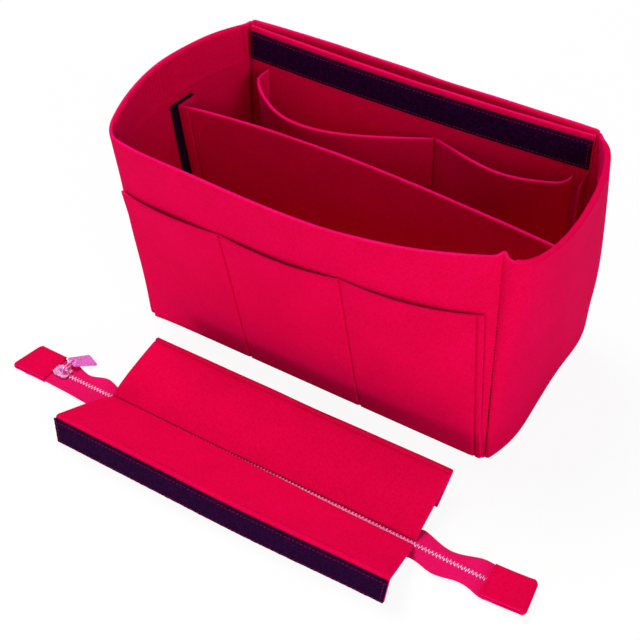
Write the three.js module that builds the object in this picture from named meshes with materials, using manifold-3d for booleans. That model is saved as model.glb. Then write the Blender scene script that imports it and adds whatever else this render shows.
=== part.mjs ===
// Felt purse organizer: a basket with pockets, a lift-out divider, and a zip lid lying in front of it.
// Millimetres. +X runs along the length, +Y to the back, +Z up.
// The origin is the centre of the base's underside.
import * as THREE from 'three';
import { mergeVertices } from 'three/addons/utils/BufferGeometryUtils.js';
import Module from 'manifold-3d';

// Sheets and clearances
const felt = 3; // walls, divider and lid
const pocketFelt = 2.5; // pockets sewn on the walls
const facingFelt = 1.6; // bands inside the rim of the ends
const strip = 1.6; // thickness of a hook or loop strip
const stripWidth = 25;
const clear = 0.3; // between pieces that touch

// Basket
const height = 198;
const baseLength = 307;
const baseWidth = 156;
const rimLength = 300; // between the corner seams
const rimWidth = 160; // between the corner seams of the right end
const frontLeftSplay = 24; // how far the front left seam leans forward at the rim
const frontLeftInset = 2; // and towards the middle
const frontBowLeft = 14; // handles of the front rim's bow, near its left and right third
const frontBowRight = 53;
const backBowRight = 3; // handles of the back rim's bow
const backBowLeft = 7;
const baseEndHandle = { out: 11, in: 13 }; // how the ends leave the seams at the base
const rightFrontHandle = { out: 46, in: -17 }; // and at the rim
const rightBackHandle = { out: 32, in: 12 };
const leftFrontHandle = { out: 35, in: 60 };
const leftBackHandle = { out: 35, in: 58 };
const rightBelly = 10.5; // the ends swell out above the base
const leftBelly = 8;
const bellySkew = 3; // most near the right end's back and the left end's front
const bellyRise = 0.75; // below 1 they swell most below half height

// Back layers and pockets
const slipPocketGap = 8.5; // mouth of the pocket between the two back layers
const backLayerInset = 2; // from the corner seams to the ends of the inner layer
const frontPocketHeight = 148;
const frontPocketStart = 3; // from the left seam to the pocket sheet
const frontPocketEnd = 8; // from the pocket sheet to the right seam
const innerPocketHeight = 155;
const innerPocketLeft = 134; // reach of the inner pocket sheet from the middle
const innerPocketRight = 138;
const innerPocketSeam = 25; // place of the seam between the two inner pockets
const leftPocketBulge = 39.5;
const rightPocketBulge = 15.5;
const leftBulgeSkew = 0.7; // below 1 the bulge swells early, above 1 late
const rightBulgeSkew = 1.2;
const bulgeRise = 1.5; // how the bulge grows from the base to the mouth

// Rim bands and strips
const facingDepth = 31;
const facingEnds = 16; // from the seams to the ends of the band
const stripDrop = 4; // from the rim to the loop strips
const frontStripEnds = 8;
const backStripEnds = 1;
const wallStripFoot = 14; // lower end of the upright strips
const wallStripDrop = 2; // from the rim band to the upright strips
const wallStripLead = 5.5; // how far the upright strips stand in front of the divider

// Divider
const dividerHeight = 154;
const dividerLeft = 0.46; // where the divider meets the left and right end, as a share of the end's run
const dividerRight = 0.5;
const dividerBow = 12; // its middle bends towards the back
const dividerBowSkew = 0.8;
const flangeWidth = 15;
const flangeRadius = 4.5;

// Lid, laid on the floor in front of the basket
const lidForward = 97; // from the base's front edge to the zip chain
const lidShift = 13; // of the lid's middle to the right
const lidLength = 265;
const lidFrontFlare = 7.5; // the front edge is a little longer at each end
const chainHeight = 4; // of the chain's middle plane
const grooveHalf = 2.2; // from the chain to the felt's edges
const grooveLeft = 12; // height of the felt's edges along the chain
const grooveRight = 9;
const backReach = 50; // from the chain to the fold lines
const frontReach = 47.3;
const backFoldHeight = 29.4;
const flapWidth = 26.4;
const flapStripMargin = 0.7; // felt left bare along the flap's edges

// Zip
const toothPitch = 2.8;
const toothWidth = 1.1;
const toothTip = 0.8;
const chainSlit = 0.6; // half of the slit between the two rows
const toothRoot = 2; // from the chain's middle to the bead
const beadOuter = 3.1;
const toothThickness = 2.4;
const chainEnd = 4; // bare tape at the right end
const tape = 0.7;
const tapeHalf = 12.6;
const tapeWave = 1.3;
const tapeFlat = 5.9; // the tape lies flat this far from the chain
const tapeRamp = 1.2; // and turns up to the felt over this width
const tapeTurn = 10; // length over which it turns up at the felt's ends
const tailLength = 58;
const tabLength = 31;
const tabWidth = 28;
const tabRound = 2;
const tapeInTab = 18;

// Slider and pull
const sliderLength = 14;
const sliderWidth = 11;
const sliderRear = 8.4; // width at the narrow end
const sliderMouth = 7.4; // width at the wide end's front edge
const sliderShoulder = 3; // length of the taper at the front edge
const sliderPlate = 1.1;
const sliderFlange = 1.6;
const neckLength = 4;
const neckStart = 1.5; // from the slider's front edge
const neck = 0.6;
const bailLength = 9.5;
const bailWidth = 1.6;
const bailBar = 1.5;
const bailShift = 2.5; // of the bail towards the narrow end
const linkWire = 1.2;
const linkInner = 1.4; // inner radius of the link's round ends
const linkPitch = 9.5;
const pullLength = 17;
const pullNear = 9.5; // width at the link
const pullFar = 12;
const pullThickness = 1.5;
const pullRound = 1.2;
const pullBar = 0.8; // half width of the bar that the link holds
const pullSlot = 3.4;
const pullDroop = THREE.MathUtils.degToRad(32);

// Fineness of the sheets
const endSteps = 20;
const longSteps = 14;
const risingSteps = 5;
const risingPacking = 1.5; // rows of points crowd towards the base
const bendSteps = 4;
const lidSteps = 8;
const foldSteps = 2;

// Colours
const red = { color: 0xd4003f, roughness: 0.95, metalness: 0 };
const darkStrip = { color: 0x1c0526, roughness: 0.9, metalness: 0 };
const tapeRed = { color: 0xd2004a, roughness: 0.8, metalness: 0 };
const zipMetal = { color: 0xd9a8cf, roughness: 0.3, metalness: 1 };

const organizer = new THREE.Group();

function addMesh(parent, name, geometry, finish) {
  const mesh = new THREE.Mesh(geometry, new THREE.MeshStandardMaterial(finish));
  mesh.name = name;
  parent.add(mesh);
  return mesh;
}

function mix(a, b, share) {
  return THREE.MathUtils.lerp(a, b, share);
}

function bezier(a, b, c, d, u) {
  const v = 1 - u;
  return v * v * v * a + 3 * v * v * u * b + 3 * v * u * u * c + u * u * u * d;
}

// Sheets

function gridNormal(grid, i, j, level) {
  const row = grid[j];
  const along = row[Math.min(i + 1, row.length - 1)].clone().sub(row[Math.max(i - 1, 0)]);
  const up = grid[Math.min(j + 1, grid.length - 1)][i].clone().sub(grid[Math.max(j - 1, 0)][i]);
  const normal = along.cross(up);
  if (level) normal.z = 0;
  return normal.normalize();
}

// A closed sheet behind a grid of points. grid[j][i] runs along the sheet with i and up it with j.
// ends.start and ends.end give the back corners of mitred ends.
function sheetSolid(grid, thickness, level = true, ends = {}) {
  const rows = grid.length;
  const columns = grid[0].length;
  const back = grid.map((row, j) =>
    row.map((point, i) => point.clone().addScaledVector(gridNormal(grid, i, j, level), -thickness)),
  );
  back.forEach((row, j) => {
    if (ends.start) row[0] = ends.start[j];
    if (ends.end) row[columns - 1] = ends.end[j];
  });
  const points = [...grid.flat(), ...back.flat()];
  const behind = rows * columns;
  const at = (i, j) => j * columns + i;
  const index = [];
  const quad = (a, b, c, d) => index.push(a, b, c, a, c, d);
  for (let j = 0; j < rows - 1; j += 1) {
    for (let i = 0; i < columns - 1; i += 1) {
      const corners = [at(i, j), at(i + 1, j), at(i + 1, j + 1), at(i, j + 1)];
      quad(...corners);
      quad(...corners.map((corner) => corner + behind).reverse());
    }
  }
  const edge = [];
  for (let i = 0; i < columns - 1; i += 1) edge.push(at(i, 0));
  for (let j = 0; j < rows - 1; j += 1) edge.push(at(columns - 1, j));
  for (let i = columns - 1; i > 0; i -= 1) edge.push(at(i, rows - 1));
  for (let j = rows - 1; j > 0; j -= 1) edge.push(at(0, j));
  edge.forEach((a, k) => {
    const b = edge[(k + 1) % edge.length];
    quad(b, a, a + behind, b + behind);
  });
  const geometry = new THREE.BufferGeometry();
  geometry.setAttribute('position', new THREE.Float32BufferAttribute(points.flatMap((p) => p.toArray()), 3));
  geometry.setIndex(index);
  geometry.computeVertexNormals();
  return geometry;
}

function spread(from, to, steps) {
  return Array.from({ length: steps + 1 }, (_, k) => mix(from, to, k / steps));
}

// Layers on a wall share the wall's own rows and columns of points, so that they keep its facets
const bandFoot = height - facingDepth;
const wallLevels = [...spread(0, 1, risingSteps).map((v) => bandFoot * Math.pow(v, risingPacking)), height];
const sliver = 0.02; // share of a run or a height below which a facet isn't split off

function between(start, end, marks, least) {
  return [start, ...marks.filter((mark) => mark > start + least && mark < end - least), end];
}

// Points of a face between two places along it and from a lower to an upper edge
function faceGrid(face, [start, end], [low, high], steps) {
  const along = between(start, end, spread(0, 1, steps), sliver);
  const rising = between(low, high, wallLevels, sliver * height);
  return rising.map((z) => along.map((u) => face(u, z)));
}

// Walls of the basket

const corners = {
  frontLeft: {
    base: [-baseLength / 2, -baseWidth / 2],
    rim: [-rimLength / 2 + frontLeftInset, -rimWidth / 2 - frontLeftSplay],
  },
  frontRight: { base: [baseLength / 2, -baseWidth / 2], rim: [rimLength / 2, -rimWidth / 2] },
  backRight: { base: [baseLength / 2, baseWidth / 2], rim: [rimLength / 2, rimWidth / 2] },
  backLeft: { base: [-baseLength / 2, baseWidth / 2], rim: [-rimLength / 2, rimWidth / 2] },
};

// A wall rises from its base curve to its rim curve, each between two corner seams.
// belly swells it outwards along X on the way up.
function wallFace(from, to, baseHandles, rimHandles, belly = 0) {
  const curve = (level, handles, u) =>
    [0, 1].map((k) => {
      const start = from[level][k];
      const end = to[level][k];
      const first = mix(start, end, handles.stand) + handles.first[k];
      const second = mix(end, start, handles.stand) + handles.second[k];
      return bezier(start, first, second, end, u);
    });
  return (u, z) => {
    const rise = z / height;
    const base = curve('base', baseHandles, u);
    const rim = curve('rim', rimHandles, u);
    const along = Math.sin(Math.PI * Math.pow(Math.max(u, 0), bellySkew));
    const swollen = belly * along * Math.sin(Math.PI * Math.pow(rise, bellyRise));
    return new THREE.Vector3(mix(base[0], rim[0], rise) + swollen, mix(base[1], rim[1], rise), z);
  };
}

// Long walls have their handles at the thirds of the run, ends have them at the seams
const thirds = (first, second) => ({ stand: 1 / 3, first: [0, first], second: [0, second] });
const swell = (first, second) => ({ stand: 0, first, second });

const frontFace = wallFace(
  corners.frontLeft, corners.frontRight, thirds(0, 0), thirds(-frontBowLeft, -frontBowRight),
);
const rightFace = wallFace(
  corners.frontRight,
  corners.backRight,
  swell([baseEndHandle.out, baseEndHandle.in], [baseEndHandle.out, -baseEndHandle.in]),
  swell([rightFrontHandle.out, rightFrontHandle.in], [rightBackHandle.out, -rightBackHandle.in]),
  rightBelly,
);
const slipFace = wallFace(
  corners.backRight, corners.backLeft, thirds(0, 0), thirds(backBowRight, backBowLeft),
);
const leftFace = wallFace(
  corners.backLeft,
  corners.frontLeft,
  swell([-baseEndHandle.out, -baseEndHandle.in], [-baseEndHandle.out, baseEndHandle.in]),
  swell([-leftBackHandle.out, -leftBackHandle.in], [-leftFrontHandle.out, leftFrontHandle.in]),
  -leftBelly,
);

function planTangent(face, u, z) {
  const step = 1e-3;
  const tangent = face(u + step, z).sub(face(u - step, z));
  tangent.z = 0;
  return tangent.normalize();
}

function planNormal(face, u, z) {
  const tangent = planTangent(face, u, z);
  return new THREE.Vector3(tangent.y, -tangent.x, 0);
}

// The face a distance inside another one
function inside(face, distance) {
  return (u, z) => face(u, z).addScaledVector(planNormal(face, u, z), -distance);
}

// Where the insides of two neighbouring walls meet, a distance in from their shared seam
function cornerInside(face, next, distance, z) {
  const normal = planNormal(face, 1, z);
  const nextNormal = planNormal(next, 0, z);
  const reach = distance / (1 + normal.dot(nextNormal));
  return face(1, z).addScaledVector(normal.add(nextNormal), -reach);
}

function wallSolid(face, previous, next, steps) {
  const grid = faceGrid(face, [0, 1], [0, height], steps);
  const ends = { start: [], end: [] };
  grid.forEach((row) => {
    const z = row[0].z;
    const leave = planTangent(face, 0, z).multiplyScalar(clear);
    const arrive = planTangent(face, 1, z).multiplyScalar(-clear);
    row[0].add(leave);
    row[row.length - 1].add(arrive);
    ends.start.push(cornerInside(previous, face, felt, z).add(leave));
    ends.end.push(cornerInside(face, next, felt, z).add(arrive));
  });
  return sheetSolid(grid, felt, true, ends);
}

function addWalls() {
  addMesh(organizer, 'front_panel', wallSolid(frontFace, leftFace, rightFace, longSteps), red);
  addMesh(organizer, 'right_end_panel', wallSolid(rightFace, frontFace, slipFace, endSteps), red);
  addMesh(organizer, 'back_slip_panel', wallSolid(slipFace, rightFace, leftFace, longSteps), red);
  addMesh(organizer, 'left_end_panel', wallSolid(leftFace, slipFace, frontFace, endSteps), red);
}

function addBase() {
  const walls = [frontFace, rightFace, slipFace, leftFace];
  const outline = walls.flatMap((face, k) => {
    const previous = walls[(k + walls.length - 1) % walls.length];
    const inner = inside(face, felt + clear);
    const run = spread(0, 1, endSteps).slice(1, -1).map((u) => inner(u, 0));
    return [cornerInside(previous, face, felt + clear, 0), ...run];
  });
  const shape = new THREE.Shape(outline.map((point) => new THREE.Vector2(point.x, point.y)));
  const geometry = new THREE.ExtrudeGeometry(shape, { depth: felt, bevelEnabled: false });
  addMesh(organizer, 'base_panel', geometry, red);
}

const floorTop = felt + clear;

// The inner layer of the back stands on the base and leaves a slip pocket behind it
const backHalf = (z) => mix(baseLength, rimLength, z / height) / 2 - backLayerInset;

function backLayerRear(x, z) {
  const u = (backHalf(z) - x) / (2 * backHalf(z));
  const against = felt + clear;
  const base = baseWidth / 2 - against;
  const middleHandle = (slipPocketGap * 4) / 3 - (backBowRight + backBowLeft) / 2;
  const end = rimWidth / 2 - against;
  const rim = bezier(end, end - middleHandle, end - middleHandle, end, u);
  return mix(base, rim, z / height);
}

const backLayerFace = (u, z) => {
  const x = mix(backHalf(z), -backHalf(z), u);
  return new THREE.Vector3(x, backLayerRear(x, z), z);
};

function addBackLayer() {
  const grid = faceGrid(backLayerFace, [0, 1], [floorTop, height], longSteps);
  addMesh(organizer, 'back_panel', sheetSolid(grid, felt), red);
}

// Share of a long wall's run that a length along it takes
const share = (length) => length / rimLength;

function addFrontPocket() {
  const outer = inside(frontFace, -(clear + pocketFelt));
  const run = [share(frontPocketStart), 1 - share(frontPocketEnd)];
  const grid = faceGrid(outer, run, [0, frontPocketHeight], longSteps);
  addMesh(organizer, 'front_pocket_panel', sheetSolid(grid, pocketFelt), red);
}

function pocketBulge(x, z) {
  const left = x < innerPocketSeam;
  const run = left ? innerPocketLeft + innerPocketSeam : innerPocketRight - innerPocketSeam;
  const along = left ? (x + innerPocketLeft) / run : (x - innerPocketSeam) / run;
  const skew = left ? leftBulgeSkew : rightBulgeSkew;
  const most = left ? leftPocketBulge : rightPocketBulge;
  const rise = (z - floorTop) / (innerPocketHeight - floorTop);
  return most * Math.sin(Math.PI * Math.pow(Math.max(along, 0), skew)) * Math.pow(rise, bulgeRise);
}

function addInnerPockets() {
  const pocketFace = (x, z) => {
    const wall = backLayerRear(x, z) - felt - clear;
    return new THREE.Vector3(x, wall - pocketFelt - Math.max(pocketBulge(x, z), 0), z);
  };
  const left = spread(-innerPocketLeft, innerPocketSeam, longSteps);
  const right = spread(innerPocketSeam, innerPocketRight, longSteps).slice(1);
  const run = [...left, ...right];
  const levels = between(floorTop, innerPocketHeight, wallLevels, sliver * height);
  const grid = levels.map((z) => run.map((x) => pocketFace(x, z)));
  const wall = levels.map((z) => run.map((x) => backLayerRear(x, z) - felt - clear));
  const geometry = sheetSolid(grid, pocketFelt);
  const position = geometry.getAttribute('position');
  const behind = grid.length * run.length;
  wall.flat().forEach((limit, k) => {
    if (position.getY(behind + k) > limit) position.setY(behind + k, limit);
  });
  addMesh(organizer, 'inner_pocket_panel', geometry, red);
}

// Bands and strips on the inside of the walls

function addFacings() {
  const ends = facingEnds / rimWidth;
  for (const [name, face] of [['left_rim_facing', leftFace], ['right_rim_facing', rightFace]]) {
    const grid = faceGrid(inside(face, felt + clear), [ends, 1 - ends], [bandFoot, height], endSteps);
    addMesh(organizer, name, sheetSolid(grid, facingFelt), red);
  }
}

function addLoopStrips() {
  const high = height - stripDrop;
  const low = high - stripWidth;
  const walls = [
    ['front_loop_strip', frontFace, frontStripEnds],
    ['back_loop_strip', backLayerFace, backStripEnds],
  ];
  for (const [name, face, bare] of walls) {
    const run = [share(bare), 1 - share(bare)];
    const grid = faceGrid(inside(face, felt + clear), run, [low, high], longSteps);
    addMesh(organizer, name, sheetSolid(grid, strip), darkStrip);
  }
}

// The upright strips, the divider's strips and its flanges lie in layers on the ends
const endRun = rimWidth + frontLeftSplay;
const wallStripDepth = felt + clear;
const hookStripDepth = wallStripDepth + strip + clear;
const flangeDepth = hookStripDepth + strip + clear;
const leftSpan = {
  strip: [dividerLeft - (stripWidth - wallStripLead) / endRun, dividerLeft + wallStripLead / endRun],
  flange: [dividerLeft - flangeWidth / endRun, dividerLeft],
};
const rightSpan = {
  strip: [dividerRight - wallStripLead / rimWidth, dividerRight + (stripWidth - wallStripLead) / rimWidth],
  flange: [dividerRight, dividerRight + flangeWidth / rimWidth],
};
const dividerFoot = floorTop + clear;
const dividerTop = dividerFoot + dividerHeight;

function addWallStrips() {
  const levels = [wallStripFoot, bandFoot - wallStripDrop];
  const left = faceGrid(inside(leftFace, wallStripDepth), leftSpan.strip, levels, endSteps);
  addMesh(organizer, 'left_wall_strip', sheetSolid(left, strip), darkStrip);
  const right = faceGrid(inside(rightFace, wallStripDepth), rightSpan.strip, levels, endSteps);
  addMesh(organizer, 'right_wall_strip', sheetSolid(right, strip), darkStrip);
}

// One level of the divider: left flange, bend, bowed run, bend, right flange
function dividerRow(z) {
  const left = inside(leftFace, flangeDepth);
  const right = inside(rightFace, flangeDepth);
  const leftEnd = left(dividerLeft, z);
  const rightEnd = right(dividerRight, z);
  const up = new THREE.Vector3(0, 0, 1);
  const run = rightEnd.clone().sub(leftEnd).normalize();
  const bow = up.clone().cross(run);
  const bend = (corner, fromTangent, toTangent) =>
    spread(0, 1, bendSteps).map((v) => {
      const start = corner.clone().addScaledVector(fromTangent, -flangeRadius);
      const end = corner.clone().addScaledVector(toTangent, flangeRadius);
      return new THREE.QuadraticBezierCurve3(start, corner, end).getPoint(v);
    });
  const leftBend = bend(leftEnd, planTangent(left, dividerLeft, z), run);
  const rightBend = bend(rightEnd, run, planTangent(right, dividerRight, z));
  const leftTip = left(leftSpan.flange[0], z);
  const rightTip = right(rightSpan.flange[1], z);
  const start = leftBend[bendSteps];
  const end = rightBend[0];
  const middle = spread(0, 1, longSteps).slice(1, -1).map((s) => {
    const reach = dividerBow * Math.sin(Math.PI * Math.pow(s, dividerBowSkew));
    return start.clone().lerp(end, s).addScaledVector(bow, reach);
  });
  return [leftTip, ...leftBend, ...middle, ...rightBend, rightTip];
}

function addDivider() {
  const levels = between(dividerFoot, dividerTop, wallLevels, sliver * height);
  addMesh(organizer, 'divider_panel', sheetSolid(levels.map(dividerRow), felt), red);
  const span = [wallStripFoot, dividerTop - clear];
  const left = faceGrid(inside(leftFace, hookStripDepth), leftSpan.flange, span, endSteps);
  addMesh(organizer, 'divider_left_hook_strip', sheetSolid(left, strip), darkStrip);
  const right = faceGrid(inside(rightFace, hookStripDepth), rightSpan.flange, span, endSteps);
  addMesh(organizer, 'divider_right_hook_strip', sheetSolid(right, strip), darkStrip);
}

// Lid

const lid = new THREE.Group();
lid.position.set(lidShift, -baseWidth / 2 - lidForward, 0);
organizer.add(lid);

const lidHalf = lidLength / 2;
const frontFoldHeight = flapWidth + felt + 2 * clear; // the front flap stands on the floor

// Height of the felt's upper side along the chain
const grooveHeight = (x) => mix(grooveLeft, grooveRight, (x + lidHalf) / lidLength);

function lidSlope(x, side) {
  const fold = side > 0 ? backFoldHeight : frontFoldHeight;
  const reach = side > 0 ? backReach : frontReach;
  return (fold - grooveHeight(x)) / (reach - grooveHalf);
}

function lidTop(x, y) {
  return grooveHeight(x) + lidSlope(x, y) * (Math.abs(y) - grooveHalf);
}

// The front edge is longer than the edge at the chain
function frontStretch(y) {
  const out = (Math.abs(y) - grooveHalf) / (frontReach - grooveHalf);
  return 1 + (lidFrontFlare / lidHalf) * out;
}

function addLidPanels() {
  const lengthwise = spread(-lidHalf, lidHalf, lidSteps);
  const back = spread(grooveHalf, backReach, foldSteps).map((y) =>
    lengthwise.map((x) => new THREE.Vector3(x, y, lidTop(x, y))),
  );
  addMesh(lid, 'back_lid_panel', sheetSolid(back, felt, false), red);
  const front = spread(-frontReach, -grooveHalf, foldSteps).map((y) =>
    lengthwise.map((x) => new THREE.Vector3(x * frontStretch(y), y, lidTop(x, y))),
  );
  addMesh(lid, 'front_lid_panel', sheetSolid(front, felt, false), red);
}

// A flap hangs from the fold line, with its strip on the outer side.
// side is 1 at the back and -1 at the front.
function flapSheets(side, stretch, lean) {
  const reach = side > 0 ? backReach : frontReach;
  const fold = (side > 0 ? backFoldHeight : frontFoldHeight) - felt - clear;
  const place = (x, down, out) => {
    const y = side * (reach + clear - down * Math.sin(lean) + out * Math.cos(lean));
    return new THREE.Vector3(x * stretch, y, fold - down * Math.cos(lean) - out * Math.sin(lean));
  };
  const lengthwise = spread(side * -lidHalf, side * lidHalf, lidSteps).map((x) => -x);
  const layer = (out, thickness, margin) => {
    const downs = spread(flapWidth - margin, margin, foldSteps);
    const grid = downs.map((down) => lengthwise.map((x) => place(x, down, out + thickness)));
    return sheetSolid(grid, thickness, false);
  };
  return { flap: layer(0, felt, 0), strip: layer(felt + clear, strip, flapStripMargin) };
}

// The back flap leans in under the lid until its lower outer edge stands on the floor
function standingLean(fold) {
  const drop = fold - felt - 2 * clear;
  const diagonal = Math.hypot(flapWidth, felt);
  return Math.atan2(felt, flapWidth) + Math.acos(Math.min(1, drop / diagonal));
}

function addFlaps() {
  const back = flapSheets(1, 1, standingLean(backFoldHeight));
  addMesh(lid, 'back_flap', back.flap, red);
  addMesh(lid, 'back_hook_strip', back.strip, darkStrip);
  const front = flapSheets(-1, frontStretch(frontReach), 0);
  addMesh(lid, 'front_flap', front.flap, red);
  addMesh(lid, 'front_hook_strip', front.strip, darkStrip);
}

// Zip

const tabInner = lidHalf + tailLength;

function tapeEdge(x) {
  const along = THREE.MathUtils.clamp((Math.abs(x) - lidHalf) / tailLength, 0, 1);
  return tapeHalf + tapeWave * Math.cos(2 * Math.PI * along);
}

// Under the felt the tape follows its underside, in the tails it lies flat
function tapeTop(x, y) {
  const flat = chainHeight + tape / 2;
  const under = THREE.MathUtils.smoothstep(lidHalf - Math.abs(x), 0, tapeTurn);
  const turn = THREE.MathUtils.smoothstep(Math.abs(y), tapeFlat, tapeFlat + tapeRamp);
  const followed = lidTop(x, y) - (felt + clear) * Math.hypot(1, lidSlope(x, y));
  return mix(flat, Math.max(flat, followed), under * turn);
}

function addTapes() {
  const reach = tabInner + tapeInTab;
  const lengthwise = [
    ...spread(-reach, -lidHalf, lidSteps),
    ...spread(-lidHalf, lidHalf, 2 * lidSteps).slice(1, -1),
    ...spread(lidHalf, reach, lidSteps),
  ];
  const inner = beadOuter + clear;
  const near = [inner, tapeFlat, tapeFlat + tapeRamp / 2, tapeFlat + tapeRamp];
  for (const [name, side] of [['front_tape', -1], ['back_tape', 1]]) {
    const across = (x) => [...near, ...spread(tapeFlat + tapeRamp, tapeEdge(x), 2).slice(1)];
    const rows = [...near, 1, 2].map((_, k) =>
      lengthwise.map((x) => {
        const y = side * across(x)[k];
        return new THREE.Vector3(x, y, tapeTop(x, y));
      }),
    );
    const grid = side > 0 ? rows : rows.reverse();
    addMesh(lid, name, sheetSolid(grid, tape, false), tapeRed);
  }
}

// A row of teeth on its bead. The two rows are half a pitch apart.
function toothRow(side, shift) {
  const start = -tabInner + clear;
  const end = tabInner - chainEnd;
  const outline = [[start, beadOuter], [start, toothRoot]];
  const count = Math.floor((end - start - toothPitch) / toothPitch);
  for (let k = 0; k < count; k += 1) {
    const x = start + shift + (k + 0.5) * toothPitch;
    outline.push([x - toothWidth / 2, toothRoot], [x - toothTip / 2, chainSlit]);
    outline.push([x + toothTip / 2, chainSlit], [x + toothWidth / 2, toothRoot]);
  }
  outline.push([end, toothRoot], [end, beadOuter]);
  const shape = new THREE.Shape(outline.map(([x, y]) => new THREE.Vector2(x, side * y)));
  const geometry = new THREE.ExtrudeGeometry(shape, { depth: toothThickness, bevelEnabled: false });
  return geometry.translate(0, 0, chainHeight - toothThickness / 2);
}

function addTeeth() {
  addMesh(lid, 'front_teeth', toothRow(-1, 0), zipMetal);
  addMesh(lid, 'back_teeth', toothRow(1, toothPitch / 2), zipMetal);
}

// A tab is one piece of felt folded over the end of the tapes
function addTabs() {
  const half = tape / 2 + clear + felt;
  const slot = tape / 2 + clear;
  const depth = tapeInTab + clear;
  const profile = new THREE.Shape();
  profile.moveTo(0, -half);
  profile.lineTo(tabLength - tabRound, -half);
  profile.absarc(tabLength - tabRound, tabRound - half, tabRound, -Math.PI / 2, 0, false);
  profile.absarc(tabLength - tabRound, half - tabRound, tabRound, 0, Math.PI / 2, false);
  profile.lineTo(0, half);
  profile.lineTo(0, slot);
  profile.lineTo(depth, slot);
  profile.lineTo(depth, -slot);
  profile.lineTo(0, -slot);
  const settings = { depth: tabWidth, bevelEnabled: false, curveSegments: bendSteps };
  for (const [name, side] of [['left_tab', -1], ['right_tab', 1]]) {
    const geometry = new THREE.ExtrudeGeometry(profile, settings);
    geometry.translate(0, 0, -tabWidth / 2).rotateX(Math.PI / 2);
    const tab = addMesh(lid, name, geometry, red);
    tab.position.set(side * tabInner, 0, chainHeight);
    if (side < 0) tab.rotation.z = Math.PI;
  }
}

// Slider and pull

const wasm = await Module();
wasm.setup();

function toSolid(geometry) {
  const bare = geometry.clone();
  bare.deleteAttribute('normal');
  bare.deleteAttribute('uv');
  const merged = mergeVertices(bare);
  const vertProperties = new Float32Array(merged.getAttribute('position').array);
  const triVerts = new Uint32Array(merged.getIndex().array);
  return new wasm.Manifold(new wasm.Mesh({ numProp: 3, vertProperties, triVerts }));
}

function toGeometry(solid) {
  const mesh = solid.getMesh();
  const geometry = new THREE.BufferGeometry();
  geometry.setAttribute('position', new THREE.Float32BufferAttribute(mesh.vertProperties, 3));
  geometry.setIndex(Array.from(mesh.triVerts));
  geometry.computeVertexNormals();
  return geometry;
}

function block(width, depth, tall, x = 0, y = 0, z = 0) {
  return toSolid(new THREE.BoxGeometry(width, depth, tall).translate(x, y, z));
}

function outlineSolid(points, depth) {
  const shape = new THREE.Shape(points.map(([x, y]) => new THREE.Vector2(x, y)));
  const geometry = new THREE.ExtrudeGeometry(shape, { depth, bevelEnabled: false });
  return geometry.translate(0, 0, -depth / 2);
}

const plateInner = toothThickness / 2 + clear;
const plateTop = plateInner + sliderPlate;
const bailAxis = plateTop + clear + linkInner + linkWire;

// Two plates round the chain, joined by a neck in the slit between the rows, with a bail on top
function sliderGeometry() {
  const front = -sliderLength / 2;
  const rear = sliderLength / 2;
  const side = [
    [front, sliderMouth / 2], [front + sliderShoulder, sliderWidth / 2],
    [rear - sliderShoulder, sliderWidth / 2], [rear, sliderRear / 2],
  ];
  const mirrored = side.map(([x, y]) => [x, -y]).reverse();
  const body = toSolid(outlineSolid([...side, ...mirrored], plateTop * 2));
  const past = sliderLength * 2;
  const channel = block(past, sliderWidth - 2 * sliderFlange, plateInner * 2);
  const tapeSlot = block(past, past, tape + 4 * clear);
  const neckMiddle = front + neckStart + neckLength / 2;
  const neckBlock = block(neckLength, neck, plateTop + plateInner, neckMiddle);
  const legs = bailLength / 2;
  const barTop = bailAxis + bailBar / 2;
  const barUnder = bailAxis - bailBar / 2;
  const arch = [
    [-legs, plateInner], [-legs, barTop - bailBar], [-legs + bailBar, barTop],
    [legs - bailBar, barTop], [legs, barTop - bailBar], [legs, plateInner],
    [legs - bailBar, plateInner], [legs - bailBar, barUnder],
    [-legs + bailBar, barUnder], [-legs + bailBar, plateInner],
  ];
  const bail = toSolid(outlineSolid(arch, bailWidth).rotateX(Math.PI / 2).translate(bailShift, 0, 0));
  return toGeometry(body.subtract(channel).subtract(tapeSlot).add(neckBlock).add(bail));
}

function stadium(path, radius, pitch) {
  path.absarc(0, 0, radius, Math.PI / 2, (3 * Math.PI) / 2, false);
  path.absarc(pitch, 0, radius, -Math.PI / 2, Math.PI / 2, false);
  return path;
}

// The link is an upright ring that hangs on the bail's bar
function linkGeometry() {
  const shape = stadium(new THREE.Shape(), linkInner + linkWire, linkPitch);
  shape.holes.push(stadium(new THREE.Path(), linkInner, linkPitch));
  const settings = { depth: linkWire, bevelEnabled: false, curveSegments: 10 };
  const geometry = new THREE.ExtrudeGeometry(shape, settings).translate(0, 0, -linkWire / 2);
  const axes = new THREE.Matrix4().makeBasis(
    new THREE.Vector3(0, 1, 0), new THREE.Vector3(0, 0, 1), new THREE.Vector3(1, 0, 0),
  );
  return geometry.applyMatrix4(axes);
}

// The pull is a tapered plate with a slot for the link
function pullGeometry() {
  const near = pullNear / 2;
  const far = pullFar / 2;
  const end = pullLength - pullBar;
  const shape = new THREE.Shape();
  shape.moveTo(-near, -pullBar);
  shape.lineTo(near, -pullBar);
  shape.lineTo(far, end - pullRound);
  shape.quadraticCurveTo(far, end, far - pullRound, end);
  shape.lineTo(pullRound - far, end);
  shape.quadraticCurveTo(-far, end, -far, end - pullRound);
  const slotFar = linkInner + linkWire + clear;
  const slot = new THREE.Path();
  slot.moveTo(-pullSlot / 2, pullBar);
  slot.lineTo(pullSlot / 2, pullBar);
  slot.lineTo(pullSlot / 2, slotFar);
  slot.lineTo(-pullSlot / 2, slotFar);
  shape.holes.push(slot);
  const settings = { depth: pullThickness, bevelEnabled: false, curveSegments: bendSteps };
  return new THREE.ExtrudeGeometry(shape, settings).translate(0, 0, -pullThickness / 2);
}

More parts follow.
